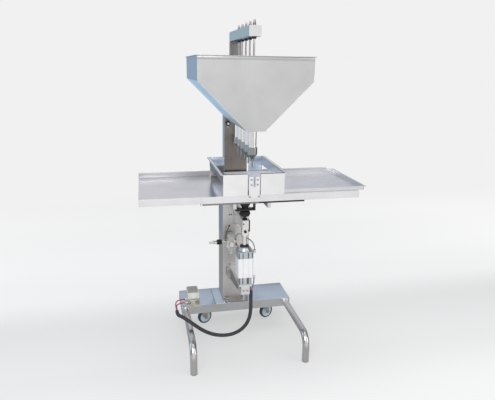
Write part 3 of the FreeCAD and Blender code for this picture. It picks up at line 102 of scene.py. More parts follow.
# Thin faces of painted shade and painted reflection stand in front of the rear sheets of the table and the
# guard
FACING_FRONT = DECK_BACK - 2.7
FACING_BACK = DECK_BACK - 1.95
GUARD_TOP = top("guard_right")
GUARD_SIDE = right("guard_right")
GUARD_LIP = 13
GUARD_WALL = GUARD_SIDE - GUARD_LIP
GUARD_GAP = 28
GUARD_SHEET = 2
HOPPER_HEM = 6
HOPPER_FRONT = front("hopper_shell") + HOPPER_HEM
HOPPER_BACK = back("hopper_shell") - HOPPER_HEM
HOPPER_SIDE = right("hopper_shell") - HOPPER_HEM
HOPPER_KNEE = 1328
HOPPER_SHEET = 2
HOPPER_RIM = top("hopper_shell") - HOPPER_SHEET
CYLINDER_DEPTH = -175
NOZZLES = 5
NOZZLE_PITCH = 80
ROD_INSET = 20

SIDES = ((-1, "left"), (1, "right"))
UP = (0, 0, 1)
FORWARD = (0, -1, 0)


def across(side, one, other):
    """Two distances from the centre plane as rising places on one side."""
    return sorted((side * one, side * other))


def rod_depths():
    """The plungers' places along the top beam, from front to back."""
    first = front("top_beam") + ROD_INSET
    return [first + NOZZLE_PITCH * index for index in range(NOZZLES)]


# Shader nodes
class Graph:
    """A node tree with the few steps that the materials and the studio share."""

    def __init__(self, tree):
        self.nodes = tree.nodes
        self.links = tree.links

    def feed(self, socket, value):
        """Give a socket a constant or another node's output; a colour comes without its alpha."""
        if isinstance(value, bpy.types.NodeSocket):
            self.links.new(value, socket)
        elif socket.type == "RGBA":
            socket.default_value = (*value, 1)
        else:
            socket.default_value = value

    def add(self, kind, inputs=None, **settings):
        """A node with its settings and what goes into it."""
        node = self.nodes.new(kind)
        for key, value in settings.items():
            setattr(node, key, value)
        for name, value in (inputs or {}).items():
            self.feed(node.inputs[name], value)
        return node

    def span(self, source, start, end, low=0.0, high=1.0, shape="LINEAR"):
        """A value's range from start to end, carried to low and high."""
        inputs = {"Value": source, "From Min": start, "From Max": end, "To Min": low, "To Max": high}
        return self.add("ShaderNodeMapRange", inputs, interpolation_type=shape).outputs["Result"]

    def mix(self, factor, first, second):
        """Two colours mixed; either may be a node's output."""
        node = self.add("ShaderNodeMix", {"Factor": factor}, data_type="RGBA")
        sockets = [entry for entry in node.inputs if entry.type == "RGBA"]
        for socket, value in zip(sockets, (first, second)):
            self.feed(socket, value)
        return [entry for entry in node.outputs if entry.type == "RGBA"][0]

    def combine(self, operation, *values):
        """A sum, product or the like of outputs and numbers."""
        return self.add("ShaderNodeMath", dict(enumerate(values)), operation=operation).outputs["Value"]


# Materials
EVEN = (1, 1, 1)
SHEET_EDGE = 0.0012
GRAIN = {"x": (1.5, 160, 160), "y": (160, 1.5, 160), "z": (160, 160, 1.5)}


def scaled(color, share):
    return tuple(share * channel for channel in color)


class Paint(Graph):
    """A node material under construction."""

    def __init__(self, name, color, roughness, metallic=0.0):
        self.material = bpy.data.materials.new(name)
        self.material.use_nodes = True
        super().__init__(self.material.node_tree)
        self.color = color
        self.normal = None
        self.surface("Base Color", color)
        self.surface("Roughness", roughness)
        self.surface("Metallic", metallic)

    def surface(self, name, value):
        """Give one of the shader's inputs a constant or a node's output."""
        self.feed(self.nodes["Principled BSDF"].inputs[name], value)

    def coordinates(self, stretch=EVEN):
        """Object coordinates, in metres, stretched by a scale."""
        place = self.add("ShaderNodeTexCoord").outputs["Object"]
        return self.add("ShaderNodeMapping", {"Vector": place, "Scale": stretch}).outputs["Vector"]

    def noise(self, scale, stretch=EVEN, detail=4.0, roughness=0.6):
        inputs = {"Scale": scale, "Detail": detail, "Roughness": roughness,
                  "Vector": self.coordinates(stretch)}
        return self.add("ShaderNodeTexNoise", inputs).outputs["Fac"]

    def wave(self, scale, direction, profile="SIN", distortion=0.0):
        inputs = {"Scale": scale, "Distortion": distortion, "Vector": self.coordinates()}
        node = self.add("ShaderNodeTexWave", inputs, wave_type="BANDS", bands_direction=direction,
                        wave_profile=profile)
        return node.outputs["Fac"]

    def tone(self, source, other, start, end):
        """The base colour drifts towards another where the source is high."""
        self.surface("Base Color", self.mix(self.span(source, start, end), self.color, other))

    def gloss(self, source, low, high):
        """The roughness follows the middle of the source's range."""
        self.surface("Roughness", self.span(source, 0.3, 0.7, low, high))

    def soften(self, radius):
        """Rounded-looking edges."""
        self.normal = self.add("ShaderNodeBevel", {"Radius": radius}, samples=4).outputs["Normal"]
        self.surface("Normal", self.normal)

    def bump(self, source, distance, strength):
        inputs = {"Height": source, "Distance": distance, "Strength": strength}
        if self.normal is not None:
            inputs["Normal"] = self.normal
        self.normal = self.add("ShaderNodeBump", inputs).outputs["Normal"]
        self.surface("Normal", self.normal)


def brushed(name, color, roughness, grain):
    """Sheet stainless: fine lines along one axis, faint cloudy handling marks, rounded edges."""
    paint = Paint(name, color, roughness, 1.0)
    paint.soften(SHEET_EDGE)
    lines = paint.noise(9.0, GRAIN[grain], 6.0, 0.7)
    paint.tone(paint.noise(5.0, detail=3.0), scaled(color, 0.86), 0.42, 0.78)
    paint.gloss(lines, roughness - 0.07, roughness + 0.10)
    paint.bump(lines, 0.00012, 0.35)
    paint.surface("Anisotropic", 0.35)
    return paint.material


def polished(name, color, roughness):
    """Turned or plated metal with faint smudges."""
    paint = Paint(name, color, roughness, 1.0)
    paint.soften(0.0006)
    smudges = paint.noise(40.0)
    paint.gloss(smudges, roughness * 0.7, roughness * 1.5)
    paint.tone(smudges, scaled(color, 0.9), 0.5, 0.8)
    return paint.material


def moulded(name, color, roughness, grain_scale=900.0, depth=0.00008, worn=None):
    """Moulded plastic or rubber with a fine grain and slightly worn colour."""
    paint = Paint(name, color, roughness)
    paint.soften(0.0008)
    wear = paint.noise(22.0, detail=3.0)
    paint.tone(wear, worn or tuple(min(1.0, channel * 1.25 + 0.01) for channel in color), 0.5, 0.8)
    paint.gloss(wear, max(0.05, roughness - 0.08), min(1.0, roughness + 0.1))
    paint.bump(paint.noise(grain_scale, detail=2.0), depth, 0.5)
    return paint.material


def cast_alloy(name, color):
    """Sand-cast metal: small pits and a patchy tone."""
    paint = Paint(name, color, 0.42, 1.0)
    paint.soften(0.001)
    paint.tone(paint.noise(18.0), scaled(color, 0.75), 0.4, 0.75)
    paint.bump(paint.noise(700.0, detail=3.0), 0.0001, 0.5)
    return paint.material


def anodised(name, color):
    """A drawn tube with a satin anodised skin."""
    paint = Paint(name, color, 0.36, 0.35)
    paint.soften(0.001)
    lines = paint.noise(9.0, GRAIN["z"])
    paint.tone(lines, scaled(color, 0.93), 0.4, 0.75)
    paint.gloss(lines, 0.30, 0.44)
    paint.bump(lines, 0.00006, 0.3)
    return paint.material


def threaded(name, color, pitch):
    """Metal with a fine rolled thread across Z, darkened in bands along its turns as painted shade."""
    paint = Paint(name, color, 0.28, 1.0)
    turns = paint.wave(math.pi / (10 * pitch), "Z")
    # Painted shade: darker bands along the thread's turns
    paint.tone(turns, scaled(color, 0.55), 0.1, 0.9)
    paint.bump(turns, 0.0004, 1.0)
    return paint.material


def woven(name, color, other):
    """A braided protective sleeve."""
    paint = Paint(name, color, 0.62)
    weave = paint.combine("MULTIPLY", paint.wave(95.0, "DIAGONAL"), paint.wave(85.0, "Z", "TRI", 2.0))
    paint.tone(weave, other, 0.2, 0.7)
    paint.bump(weave, 0.0006, 0.8)
    return paint.material


def tubing(name, color):
    """Soft glossy air tube."""
    paint = Paint(name, color, 0.28)
    paint.surface("Coat Weight", 0.3)
    paint.surface("Subsurface Weight", 0.08)
    shade = paint.noise(30.0)
    paint.tone(shade, scaled(color, 0.7), 0.45, 0.7)
    paint.gloss(shade, 0.22, 0.36)
    return paint.material


def clear_bowl(name):
    """A slightly hazy clear plastic."""
    paint = Paint(name, (0.86, 0.84, 0.80), 0.08)
    paint.surface("Transmission Weight", 0.55)
    paint.surface("IOR", 1.45)
    paint.gloss(paint.noise(60.0), 0.05, 0.22)
    return paint.material


# Each finish with its material's name, its colour and what else its maker asks for
FINISH = {
    "sheet_z": brushed("brushed_sheet_upright", (0.80, 0.80, 0.79), 0.32, "z"),
    "sheet_y": brushed("brushed_sheet_deep", (0.80, 0.80, 0.79), 0.30, "y"),
    "deck": brushed("brushed_deck", (0.86, 0.85, 0.875), 0.17, "x"),
    # Painted shade: a darker copy of the deck's stainless for the fences' faces
    "fence": brushed("shaded_fence_face", (0.56, 0.56, 0.575), 0.46, "x"),
    "frame": brushed("brushed_frame", (0.74, 0.74, 0.745), 0.34, "x"),
    "hopper": brushed("brushed_hopper", (0.645, 0.647, 0.65), 0.36, "x"),
    "hopper_band": brushed("brushed_hopper_band", (0.56, 0.56, 0.56), 0.34, "x"),
    # Painted reflection: cool copies of the stainless for the left sides of hopper and column, the hopper's
    # left slope and the beam's left side
    "hopper_side": brushed("painted_sheen_hopper_side", (0.50, 0.60, 0.68), 0.34, "y"),
    "hopper_slope": brushed("painted_sheen_hopper_slope", (0.80, 0.93, 1.0), 0.30, "y"),
    "beam_side": brushed("painted_sheen_beam", (0.63, 0.75, 0.74), 0.32, "y"),
    "guard": brushed("brushed_guard", (0.95, 0.95, 0.96), 0.28, "z"),
    # Painted shade and painted reflection: dark, pale blue and blue-grey copies of the guard's stainless for
    # its outside, inside and rear faces
    "guard_outside": brushed("shaded_guard", (0.19, 0.19, 0.195), 0.34, "x"),
    "guard_inside": brushed("painted_sheen_guard_inside", (0.86, 0.92, 0.99), 0.34, "x"),
    "guard_rear": brushed("painted_sheen_guard_rear", (0.58, 0.66, 0.78), 0.34, "x"),
    "column": brushed("brushed_column", (0.70, 0.68, 0.665), 0.32, "z"),
    # Painted shade: the mast tube's dark warm colour stands for the hopper's shade over it
    "mast_tube": brushed("shaded_mast_tube", (0.37, 0.325, 0.29), 0.30, "z"),
    "mast": brushed("brushed_mast", (0.30, 0.29, 0.285), 0.32, "z"),
    # Painted shade: a darker copy of the column's stainless for the column's foot
    "foot": brushed("shaded_foot", (0.40, 0.375, 0.36), 0.34, "x"),
    "bracket": brushed("shaded_bracket", (0.33, 0.33, 0.31), 0.36, "y"),
    "arm": brushed("brushed_arm", (0.84, 0.82, 0.81), 0.36, "y"),
    # Painted reflection: the base's top is a darker blue-grey copy of its stainless
    "base_top": brushed("painted_sheen_base_top", (0.56, 0.645, 0.75), 0.30, "x"),
    "base": brushed("brushed_base", (0.70, 0.71, 0.725), 0.32, "x"),
    "tube": brushed("brushed_tube", (0.66, 0.655, 0.65), 0.20, "z"),
    "tray": brushed("tray_sheet", (0.77, 0.78, 0.81), 0.28, "x"),
    "nozzle": polished("turned_steel", (0.74, 0.72, 0.71), 0.12),
    "spout": polished("turned_spout", (0.32, 0.33, 0.315), 0.16),
    "rod": polished("ground_rod", (0.50, 0.47, 0.465), 0.16),
    "nut": polished("dull_nut", (0.26, 0.255, 0.25), 0.30),
    "chrome": polished("hard_chrome", (0.78, 0.77, 0.77), 0.09),
    "plated": polished("bright_plating", (0.80, 0.79, 0.76), 0.18),
    "bolt": polished("bolt_steel", (0.50, 0.49, 0.48), 0.30),
    # Painted shade: the dark colour of the lines along the guard's folded edges
    "hem": moulded("hem_shade", (0.030, 0.032, 0.060), 0.40, 500.0),
    "black_metal": moulded("black_coating", (0.012, 0.012, 0.013), 0.38, 600.0),
    "black": moulded("black_plastic", (0.008, 0.008, 0.009), 0.48),
    "rubber": moulded("black_rubber", (0.007, 0.007, 0.008), 0.55, 500.0),
    "light": moulded("light_housing", (0.66, 0.65, 0.63), 0.34),
    "white": moulded("white_plastic", (0.82, 0.82, 0.80), 0.45),
    "grey": moulded("grey_plug", (0.24, 0.24, 0.25), 0.50),
    "knob_grey": moulded("grey_knob", (0.50, 0.50, 0.49), 0.40),
    # Painted shade in grooves, channels and slits
    "recess": moulded("recess_shade", (0.085, 0.10, 0.125), 0.34, 500.0),
    "cream": moulded("cream_paint", (0.72, 0.73, 0.68), 0.42, 400.0),
    "pedal_grey": moulded("pedal_casting", (0.50, 0.485, 0.43), 0.46, 300.0, 0.0002),
    "olive": moulded("olive_rubber", (0.34, 0.35, 0.31), 0.62, 300.0, 0.0002),
    "tyre": moulded("blue_tyre", (0.022, 0.050, 0.095), 0.42, 400.0, 0.0001, (0.04, 0.10, 0.17)),
    "disc": moulded("wheel_disc", (0.62, 0.69, 0.76), 0.34),
    "dial": moulded("dial_face", (0.85, 0.85, 0.83), 0.5),
    "ink": moulded("dial_ink", (0.02, 0.02, 0.02), 0.5),
    "alloy": cast_alloy("cast_head", (0.62, 0.66, 0.70)),
    "valve": cast_alloy("cast_valve", (0.60, 0.585, 0.57)),
    "boss": cast_alloy("dark_boss", (0.10, 0.11, 0.125)),
    "barrel": anodised("anodised_barrel", (0.93, 0.94, 0.95)),
    "thread": threaded("rolled_thread", (0.75, 0.75, 0.74), 0.0018),
    "sleeve": woven("braided_sleeve", (0.028, 0.028, 0.032), (0.085, 0.085, 0.095)),
    "red": tubing("red_tube", (0.42, 0.02, 0.07)),
    "dark": tubing("dark_tube", (0.10, 0.095, 0.095)),
    "smoke": tubing("smoke_tube", (0.36, 0.36, 0.36)),
    "slate": tubing("slate_tube", (0.16, 0.20, 0.27)),
    "rose": tubing("rose_tube", (0.36, 0.12, 0.15)),
    "bowl": clear_bowl("clear_bowl"),
}

NODE_FINISH = {
    "base_beam": "base", "leg_tubes": "tube", "leg_end_plugs": "grey", "caster_plates": "plated",
    "caster_fork_left": "bolt", "caster_fork_right": "bolt", "lower_column": "column",
    "column_back_cover": "sheet_z", "upper_column": "mast_tube", "mast_bushes": "white",
    "hopper_shell": "hopper", "hopper_brackets": "bracket", "clamp_knobs": "black",
    "nozzle_manifold": "white", "metering_tubes": "nozzle", "filling_nozzles": "spout",
    "table_deck": "deck", "table_wing_left": "deck", "table_wing_right": "deck", "table_frame": "frame",
    "guard_left": "guard", "guard_right": "guard", "slotted_plate": "guard", "product_tray": "tray",
    "frame_bolts": "bolt", "stop_bracket": "black_metal", "cylinder_barrel": "barrel",
    "cylinder_head": "alloy", "cylinder_cap": "alloy", "cylinder_shelf": "sheet_y",
    "regulator_body": "light", "regulator_bowl": "bowl", "regulator_knob": "knob_grey",
    "pressure_gauge": "plated", "foot_valve_block": "valve", "air_fittings": "plated",
    "shut_off_sleeve": "black", "pedal_base": "pedal_grey", "pedal_tread": "cream",
    "inner_mast": "mast", "top_beam": "sheet_y", "drive_arm": "arm", "plungers": "rod",
    "plunger_nuts": "nut", "rod_clevis": "plated", "clevis_pin": "black_metal", "piston_rod": "chrome",
    "stop_buffer": "rubber", "dose_knob": "black", "stop_screw": "thread",
}


def dress_nodes():
    for name, finish in NODE_FINISH.items():
        materials = NODES[name].data.materials
        materials.clear()
        materials.append(FINISH[finish])
        for face in NODES[name].data.polygons:
            face.material_index = 0


# Mesh pieces
SHARP_ANGLE = math.radians(32)


def put(name, data):
    """A new object in the scene."""
    thing = bpy.data.objects.new(name, data)
    bpy.context.scene.collection.objects.link(thing)
    return thing


def link(name, mesh, finish, body="stand", slot="stainless"):
    """A dressed piece that rides on a body; most ride on the stand. The slot, stainless for most, is not
    used.
    """
    mesh.name = name
    mesh.materials.append(FINISH[finish])
    piece = put(name, mesh)
    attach(piece, body)
    return piece


def as_mesh(work):
    mesh = bpy.data.meshes.new("mesh")
    work.to_mesh(mesh)
    work.free()
    return mesh


def smoothed(work):
    """A mesh with smooth shading and sharp edges where the surface turns."""
    work.normal_update()
    for face in work.faces:
        face.smooth = True
    for edge in work.edges:
        if len(edge.link_faces) == 2 and edge.calc_face_angle(0) > SHARP_ANGLE:
            edge.smooth = False
    return as_mesh(work)


def lathe_mesh(profile, steps):
    """A mesh turned about Z from (radius, height) pairs in millimetres."""
    work = bmesh.new()
    rings = []
    for radius, height in profile:
        if radius <= 0:
            rings.append([work.verts.new((0, 0, height / 1000))])
            continue
        ring = []
        for step in range(steps):
            angle = 2 * math.pi * step / steps
            ring.append(work.verts.new((radius / 1000 * math.cos(angle), radius / 1000 * math.sin(angle),
                                        height / 1000)))
        rings.append(ring)
    for low, high in zip(rings, rings[1:]):
        for step in range(steps):
            following = (step + 1) % steps
            corners = (low[step % len(low)], low[following % len(low)],
                       high[following % len(high)], high[step % len(high)])
            # A ring of one point lies on the axis, where a face has only three corners
            corners = list(dict.fromkeys(corners))
            if len(corners) > 2:
                work.faces.new(corners)
    bmesh.ops.recalc_face_normals(work, faces=work.faces)
    return smoothed(work)


def turned_at(profile, place, direction, steps):
    """A turned mesh carried to a frame place, with its axis along a direction."""
    mesh = lathe_mesh(profile, steps)
    turn = Vector(UP).rotation_difference(Vector(direction)).to_matrix().to_4x4()
    mesh.transform(Matrix.Translation(place) @ turn)
    return mesh


def lathe(name, profile, place, direction, finish, body="stand", slot="stainless", steps=48):
    return link(name, turned_at(profile, place, direction, steps), finish, body, slot)


def block_mesh(low, high, radius):
    """A block between two machine corners with rounded edges."""
    low_point, high_point = at(*low), at(*high)
    work = bmesh.new()
    bmesh.ops.create_cube(work, size=1)
    bmesh.ops.scale(work, vec=high_point - low_point, verts=work.verts)
    bmesh.ops.translate(work, vec=(low_point + high_point) / 2, verts=work.verts)
    bmesh.ops.bevel(work, geom=list(work.edges), offset=radius / 1000, segments=2, affect="EDGES",
                    profile=0.5)
    return smoothed(work)


def block(name, low, high, radius, *dress):
    link(name, block_mesh(low, high, radius), *dress)


def prism(name, near, far, *dress):
    """A flat-sided piece between two matching outlines of frame points."""
    work = bmesh.new()
    near = [work.verts.new(point) for point in near]
    far = [work.verts.new(point) for point in far]
    work.faces.new(near)
    work.faces.new(far[::-1])
    for index in range(len(near)):
        following = (index + 1) % len(near)
        work.faces.new((near[index], near[following], far[following], far[index]))
    bmesh.ops.recalc_face_normals(work, faces=work.faces)
    link(name, as_mesh(work), *dress)


def slab(name, outline, low, high, *dress):
    """A flat plate from (y, z) points, between two places along X."""
    prism(name, [at(low, y, z) for y, z in outline], [at(high, y, z) for y, z in outline], *dress)


def upright(near, far, low, high):
    """The outline of an upright sheet, from front to back and from bottom to top."""
    return [(near, low), (near, high), (far, high), (far, low)]


def joined(name, meshes, *dress):
    """Several meshes as one piece."""
    work = bmesh.new()
    for mesh in meshes:
        work.from_mesh(mesh)
        bpy.data.meshes.remove(mesh)
    link(name, as_mesh(work), *dress)


def cap_screw_mesh(place, direction, radius, height):
    """A socket cap screw with its recess."""
    socket = radius * 0.5
    profile = [(0, height * 0.35), (socket, height * 0.35), (socket, height), (radius * 0.86, height),
               (radius, height * 0.8), (radius, 0), (0, 0)]
    return turned_at(profile, at(*place), direction, 24)


def round_line(name, kind, points, radius, resolution):
    """A curve with a round section through machine points, and its spline."""
    curve = bpy.data.curves.new(name, "CURVE")
    curve.dimensions = "3D"
    curve.bevel_depth = radius
    curve.bevel_resolution = resolution
    line = curve.splines.new(kind)
    line.points.add(len(points) - 1)
    for spot, point in zip(line.points, points):
        spot.co = (*at(*point), 1)
    return curve, line


def bead_mesh(points, radius):
    """A thin round bead or line through machine points."""
    curve, _ = round_line("bead", "POLY", points, radius / 1000, 2)
    holder = put("bead", curve)
    bpy.context.view_layer.update()
    mesh = bpy.data.meshes.new_from_object(holder.evaluated_get(bpy.context.evaluated_depsgraph_get()))
    bpy.data.objects.remove(holder)
    bpy.data.curves.remove(curve)
    for face in mesh.polygons:
        face.use_smooth = True
    return mesh


# Casters
CASTER_YAW = math.radians(22)
CASTER_TRAIL = 14
CASTER_SPREAD = 176
CASTER_SETBACK = 97
AXLE_HEIGHT = 40
# Lower halves of the tyre and the disc, as (radius, height) from the wheel's middle
TYRE_HALF = [(31, -9.5), (33, -10.5), (36, -10.6), (38.4, -9.2), (39.6, -6.2), (40, -3)]
DISC_HALF = [(5.1, -12.4), (10, -12.4), (11.5, -11), (12.5, -7.5), (24, -6), (28, -7.5), (29.5, -9.8),
             (31, -9.8)]
DISC_RING = [(13.5, 0), (14.5, 1.2), (22.5, 1.2), (23.5, 0)]
RING_OFFSET = 0.0072


def mirrored(half):
    """A closed outline from its lower half."""
    return half + [(radius, -height) for radius, height in reversed(half)] + half[:1]


def dress_casters():
    """Tyre and disc with its two raised rings for each wheel, in place of its plain solid."""
    axle = Vector((-math.sin(CASTER_YAW), math.cos(CASTER_YAW), 0))
    for side, word in SIDES:
        centre = at(side * CASTER_SPREAD + CASTER_TRAIL * math.cos(CASTER_YAW),
                    CASTER_SETBACK + CASTER_TRAIL * math.sin(CASTER_YAW), AXLE_HEIGHT)
        body = "caster_wheel_" + word
        tyre = lathe(body + "_tyre", mirrored(TYRE_HALF), centre, axle, "tyre", body, "wheel_rubber", 96)
        lathe(body + "_disc", mirrored(DISC_HALF), centre, axle, "disc", body, "wheel_rubber", 72)
        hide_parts(body)
        for end, face in ((-1, "front"), (1, "back")):
            lathe("%s_ring_%s" % (body, face), DISC_RING, centre + axle * end * RING_OFFSET, axle * end,
                  "disc", body, "wheel_rubber")


# Hoses: the same routes as the solids, as smooth lines
ROUTES = {
    "hose_sleeve": [(33, -187, 316), (33, -187, 272), (34, -187, 223), (30, -186, 174), (14, -184, 131),
                    (-18, -182, 97), (-62, -179, 78), (-112, -178, 77), (-162, -181, 92),
                    (-206, -190, 122), (-240, -206, 158), (-277, -196, 186), (-306, -160, 193),
                    (-326, -120, 182), (-326, -80, 182)],
    "pedal_hose_upper": [(-328, -80, 185), (-328, -54, 185), (-329, -25, 188), (-325, 8, 190),
                         (-303, 30, 189), (-277, 30, 189)],
    "pedal_hose_lower": [(-324, -80, 179), (-324, -59, 179), (-325, -34, 178), (-323, -7, 177),
                         (-304, 14, 177), (-277, 14, 177)],
    "feed_hose": [(30, -184, 316), (30, -184, 329), (30, -168, 341), (30, -142, 344), (29, -104, 342),
                  (29, -62, 341), (29, -18, 340), (29, 26, 340)],
    "cap_hose": [(37, -190, 316), (37, -190, 330), (45, -183, 346), (50, -175, 361), (50, -175, 377)],
    "head_hose": [(-6, 16, 514), (-6, 16, 528), (0, 8, 544), (6, -12, 556), (6, -40, 566), (3, -72, 573),
                  (6, -103, 575), (20, -130, 574), (37, -149, 567), (47, -163, 555), (50, -175, 541),
                  (50, -175, 528)],
    "cylinder_hose": [(-6, 4, 492), (-6, -16, 492), (-5, -44, 499), (-9, -74, 508), (-18, -103, 514),
                      (-18, -129, 514)],
    "supply_hose": [(-60, 16, 512), (-60, 16, 532), (-58, 14, 554), (-50, 13, 573), (-41, 20, 585),
                    (-37, 32, 588)],
}
SLEEVE_DIAMETER = 0.018
HOSE_DIAMETER = 0.006
# Finish, slot, diameter and length, in metres
HOSE_FACTS = {
    "hose_sleeve": ("sleeve", "black_fabric", SLEEVE_DIAMETER, 0.664),
    "pedal_hose_upper": ("red", "red_hose", HOSE_DIAMETER, 0.143),
    "pedal_hose_lower": ("red", "red_hose", HOSE_DIAMETER, 0.126),
    "feed_hose": ("red", "red_hose", HOSE_DIAMETER, 0.226),
    "cap_hose": ("slate", "dark_hose", HOSE_DIAMETER, 0.066),
    "head_hose": ("smoke", "dark_hose", HOSE_DIAMETER, 0.258),
    "cylinder_hose": ("rose", "red_hose", HOSE_DIAMETER, 0.137),
    "supply_hose": ("dark", "dark_hose", HOSE_DIAMETER, 0.091),
}


def make_hoses():
    for name, route in ROUTES.items():
        finish, slot, diameter, length = HOSE_FACTS[name]
        curve, line = round_line(name + "_line", "NURBS", route, diameter / 2, 6)
        curve.use_fill_caps = True
        line.order_u = 3
        line.use_endpoint_u = True
        line.resolution_u = 12
        curve.materials.append(FINISH[finish])
        hose = put(name + "_line", curve)
        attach(hose, "stand")
        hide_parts(name)


# Air service details
DIAL_TICKS = 11
FIRST_TICK = 225
TICK_STEP = 27
KNURL_RIBS = 20
RELEASE_RING = [(3.4, -1.5), (5.15, -1.5), (5.15, -0.6), (4.4, 0.9), (3.4, 0.9), (3.4, -1.5)]
# Hose ends that enter a fitting: the hose, its first or last point, and the way it leaves the fitting
FITTED_ENDS = (("supply_hose", 0, UP), ("head_hose", 0, UP), ("cylinder_hose", 0, FORWARD),
               ("head_hose", -1, UP), ("cylinder_hose", -1, (0, 1, 0)), ("cap_hose", -1, (0, 0, -1)),
               ("feed_hose", -1, FORWARD), ("pedal_hose_upper", -1, (-1, 0, 0)),
               ("pedal_hose_lower", -1, (-1, 0, 0)), ("supply_hose", -1, FORWARD))


def make_gauge():
    """Bezel, dial, ticks and needle on the pressure gauge."""
    x, _, z = middle("pressure_gauge")
    face = front("pressure_gauge") + 1.5
    bezel = [(12.0, -0.3), (12.4, 1.0), (13.6, 1.4), (13.95, 0.4), (13.95, -8)]
    lathe("gauge_bezel", bezel, at(x, face, z), FORWARD, "plated", "stand", "plated")
    dial = [(0, 0.25), (11.9, 0.25), (11.9, 0.0), (0, 0.0)]
    lathe("gauge_dial", dial, at(x, face, z), FORWARD, "dial", "stand", "light_plastic")
    marks = []
    for index in range(DIAL_TICKS):
        angle = math.radians(FIRST_TICK - TICK_STEP * index)
        inner = 8.6 if index % 5 == 0 else 9.6
        ends = [(x + radius * math.cos(angle), face - 0.4, z + radius * math.sin(angle))
                for radius in (inner, 11)]
        marks.append(bead_mesh(ends, 0.3))
    marks.append(bead_mesh([(x, face - 0.8, z), (x - 6.5, face - 0.8, z + 5.5)], 0.45))
    joined("gauge_marks", marks, "ink", "stand", "black_plastic")


def make_knurl():
    """Ribs round the regulator knob."""
    x, y, _ = middle("regulator_knob")
    low, high = under("regulator_knob") + 4, top("regulator_knob") - 7
    reach = 17.2
    ribs = []
    for index in range(KNURL_RIBS):
        angle = 2 * math.pi * index / KNURL_RIBS
        spot = (x + reach * math.cos(angle), y + reach * math.sin(angle))
        ribs.append(bead_mesh([(*spot, low), (*spot, high)], 0.9))
    joined("regulator_ribs", ribs, "knob_grey", "regulator_knob", "light_plastic")


def make_rings():
    """Dark release rings where the hoses enter their fittings."""
    rings = [turned_at(RELEASE_RING, at(*ROUTES[hose][end]), direction, 24)
             for hose, end, direction in FITTED_ENDS]
    joined("fitting_rings", rings, "black", "stand", "black_plastic")


# Cylinder
BOSS_HEIGHT = 22
HEAD_BLOCK_TOP = top("cylinder_head") - BOSS_HEIGHT
HEAD_SCREW_OFFSET = 29
# Channels down the fronts of the head and the cap, drawn as dark bars of painted shade: their middle and
# half width along X
HEAD_CHANNELS = ((-32.5, 2.6), (-14, 2.4), (12, 3.2), (31, 2.0))
CAP_CHANNELS = ((-28.5, 2.2), (-13, 2.6), (12, 5.5))
BOSS = [(21.9, 531.4), (25.5, 531.4), (23.6, 540), (22.3, 548.4), (21.9, 548.4), (21.9, 531.4)]
WIPER = [(8.6, 552.8), (8.6, 554.4), (9.6, 554.9), (20.6, 554.6), (22.4, 552.6), (22.4, 550),
         (21.8, 550), (21.8, 552.8), (8.6, 552.8)]
SHELF_WEB = [(37, 291), (-190, 329), (-206, 351.8), (37, 351.8)]
# Ports of the foot valve: place along X, height and radius
VALVE_PORTS = ((-30, 338, 5.4), (-27, 320, 4.6))


def make_head_screws():
    """Corner screws of the cylinder head."""
    screws = [cap_screw_mesh((x, CYLINDER_DEPTH + y, HEAD_BLOCK_TOP), UP, 4.6, 3.5)
              for x in (-HEAD_SCREW_OFFSET, HEAD_SCREW_OFFSET)
              for y in (-HEAD_SCREW_OFFSET, HEAD_SCREW_OFFSET)]
    joined("cylinder_screws", screws, "bolt", "stand", "plated")


def channel_meshes(node, spots, low, high):
    face = front(node)
    return [block_mesh((x - half, face - 0.5, low), (x + half, face + 0.4, high), 0.3)
            for x, half in spots]


def make_cylinder_details():
    """Channels as bars of painted shade, dark boss and wiper ring, the shelf's side web and the ports of the
    foot valve.
    """
    channels = channel_meshes("cylinder_head", HEAD_CHANNELS, 499.5, 527)
    channels += channel_meshes("cylinder_cap", CAP_CHANNELS, 363, 395)
    joined("cylinder_channels", channels, "recess", "stand", "black_plastic")
    axis = at(0, CYLINDER_DEPTH, 0)
    lathe("cylinder_boss", BOSS, axis, UP, "boss")
    lathe("rod_wiper", WIPER, axis, UP, "rubber", "stand", "black_rubber")
    slab("shelf_web", SHELF_WEB, -34.4, -33.1, "bracket")
    ports = []
    for x, z, radius in VALVE_PORTS:
        profile = [(0, -0.5), (0, 1.5), (radius * 0.6, 1.5), (radius * 0.6, 3), (radius, 3), (radius, -0.5),
                   (0, -0.5)]
        ports.append(turned_at(profile, at(x, front("foot_valve_block"), z), FORWARD, 24))
    joined("valve_ports", ports, "nut", "stand", "plated")


# Plungers
LOCK_NUT = [(4.3, -9.2), (7.9, -9.2), (8.85, -8.3), (8.85, -0.9), (7.9, -0.1), (4.3, -0.1)]
THREAD_PITCH = 1.25
THREAD_ROOT = 3.9
THREAD_CREST = 4.18


def make_lock_nuts():
    """Black lock nuts under the beam, just proud of the plain ones."""
    nuts = [turned_at(LOCK_NUT, at(0, y, under("top_beam")), UP, 6) for y in rod_depths()]
    joined("lock_nut_shells", nuts, "black_metal", "dosing_carriage")


def make_plunger_threads():
    """Threaded ends of the plunger rods, above and below the beam."""
    beam_under, beam_top = under("top_beam"), top("top_beam")
    threads = []
    for y in rod_depths():
        for start, end in ((beam_under - 26, beam_under - 9), (beam_top + 11, beam_top + 23.9)):
            profile = [(THREAD_ROOT, start)]
            for turn in range(int((end - start) / THREAD_PITCH)):
                root = start + turn * THREAD_PITCH
                profile += [(THREAD_CREST, root + 0.35), (THREAD_CREST, root + 0.55)]
                profile.append((THREAD_ROOT, root + 1.1))
            profile.append((THREAD_ROOT, end))
            threads.append(turned_at(profile, at(0, y, 0), UP, 20))
    joined("plunger_threads", threads, "nozzle", "dosing_carriage", "chromed")


# Stand
LEG_SPREAD = 272
LEG_SOCKET_HEIGHT = 137
LEG_BEAD_RADIUS = 17.3
LEG_BEAD_STEPS = 24
# Column screws: place along X, height, and the head's radius and height
COLUMN_SCREWS = ((-36, 644, 3.4, 2.6), (-26, 644, 3.4, 2.6), (-56, 806, 4.0, 3.2), (56, 806, 4.0, 3.2))
BASE_SEAM = -116
SEAM_HALF = 1.2


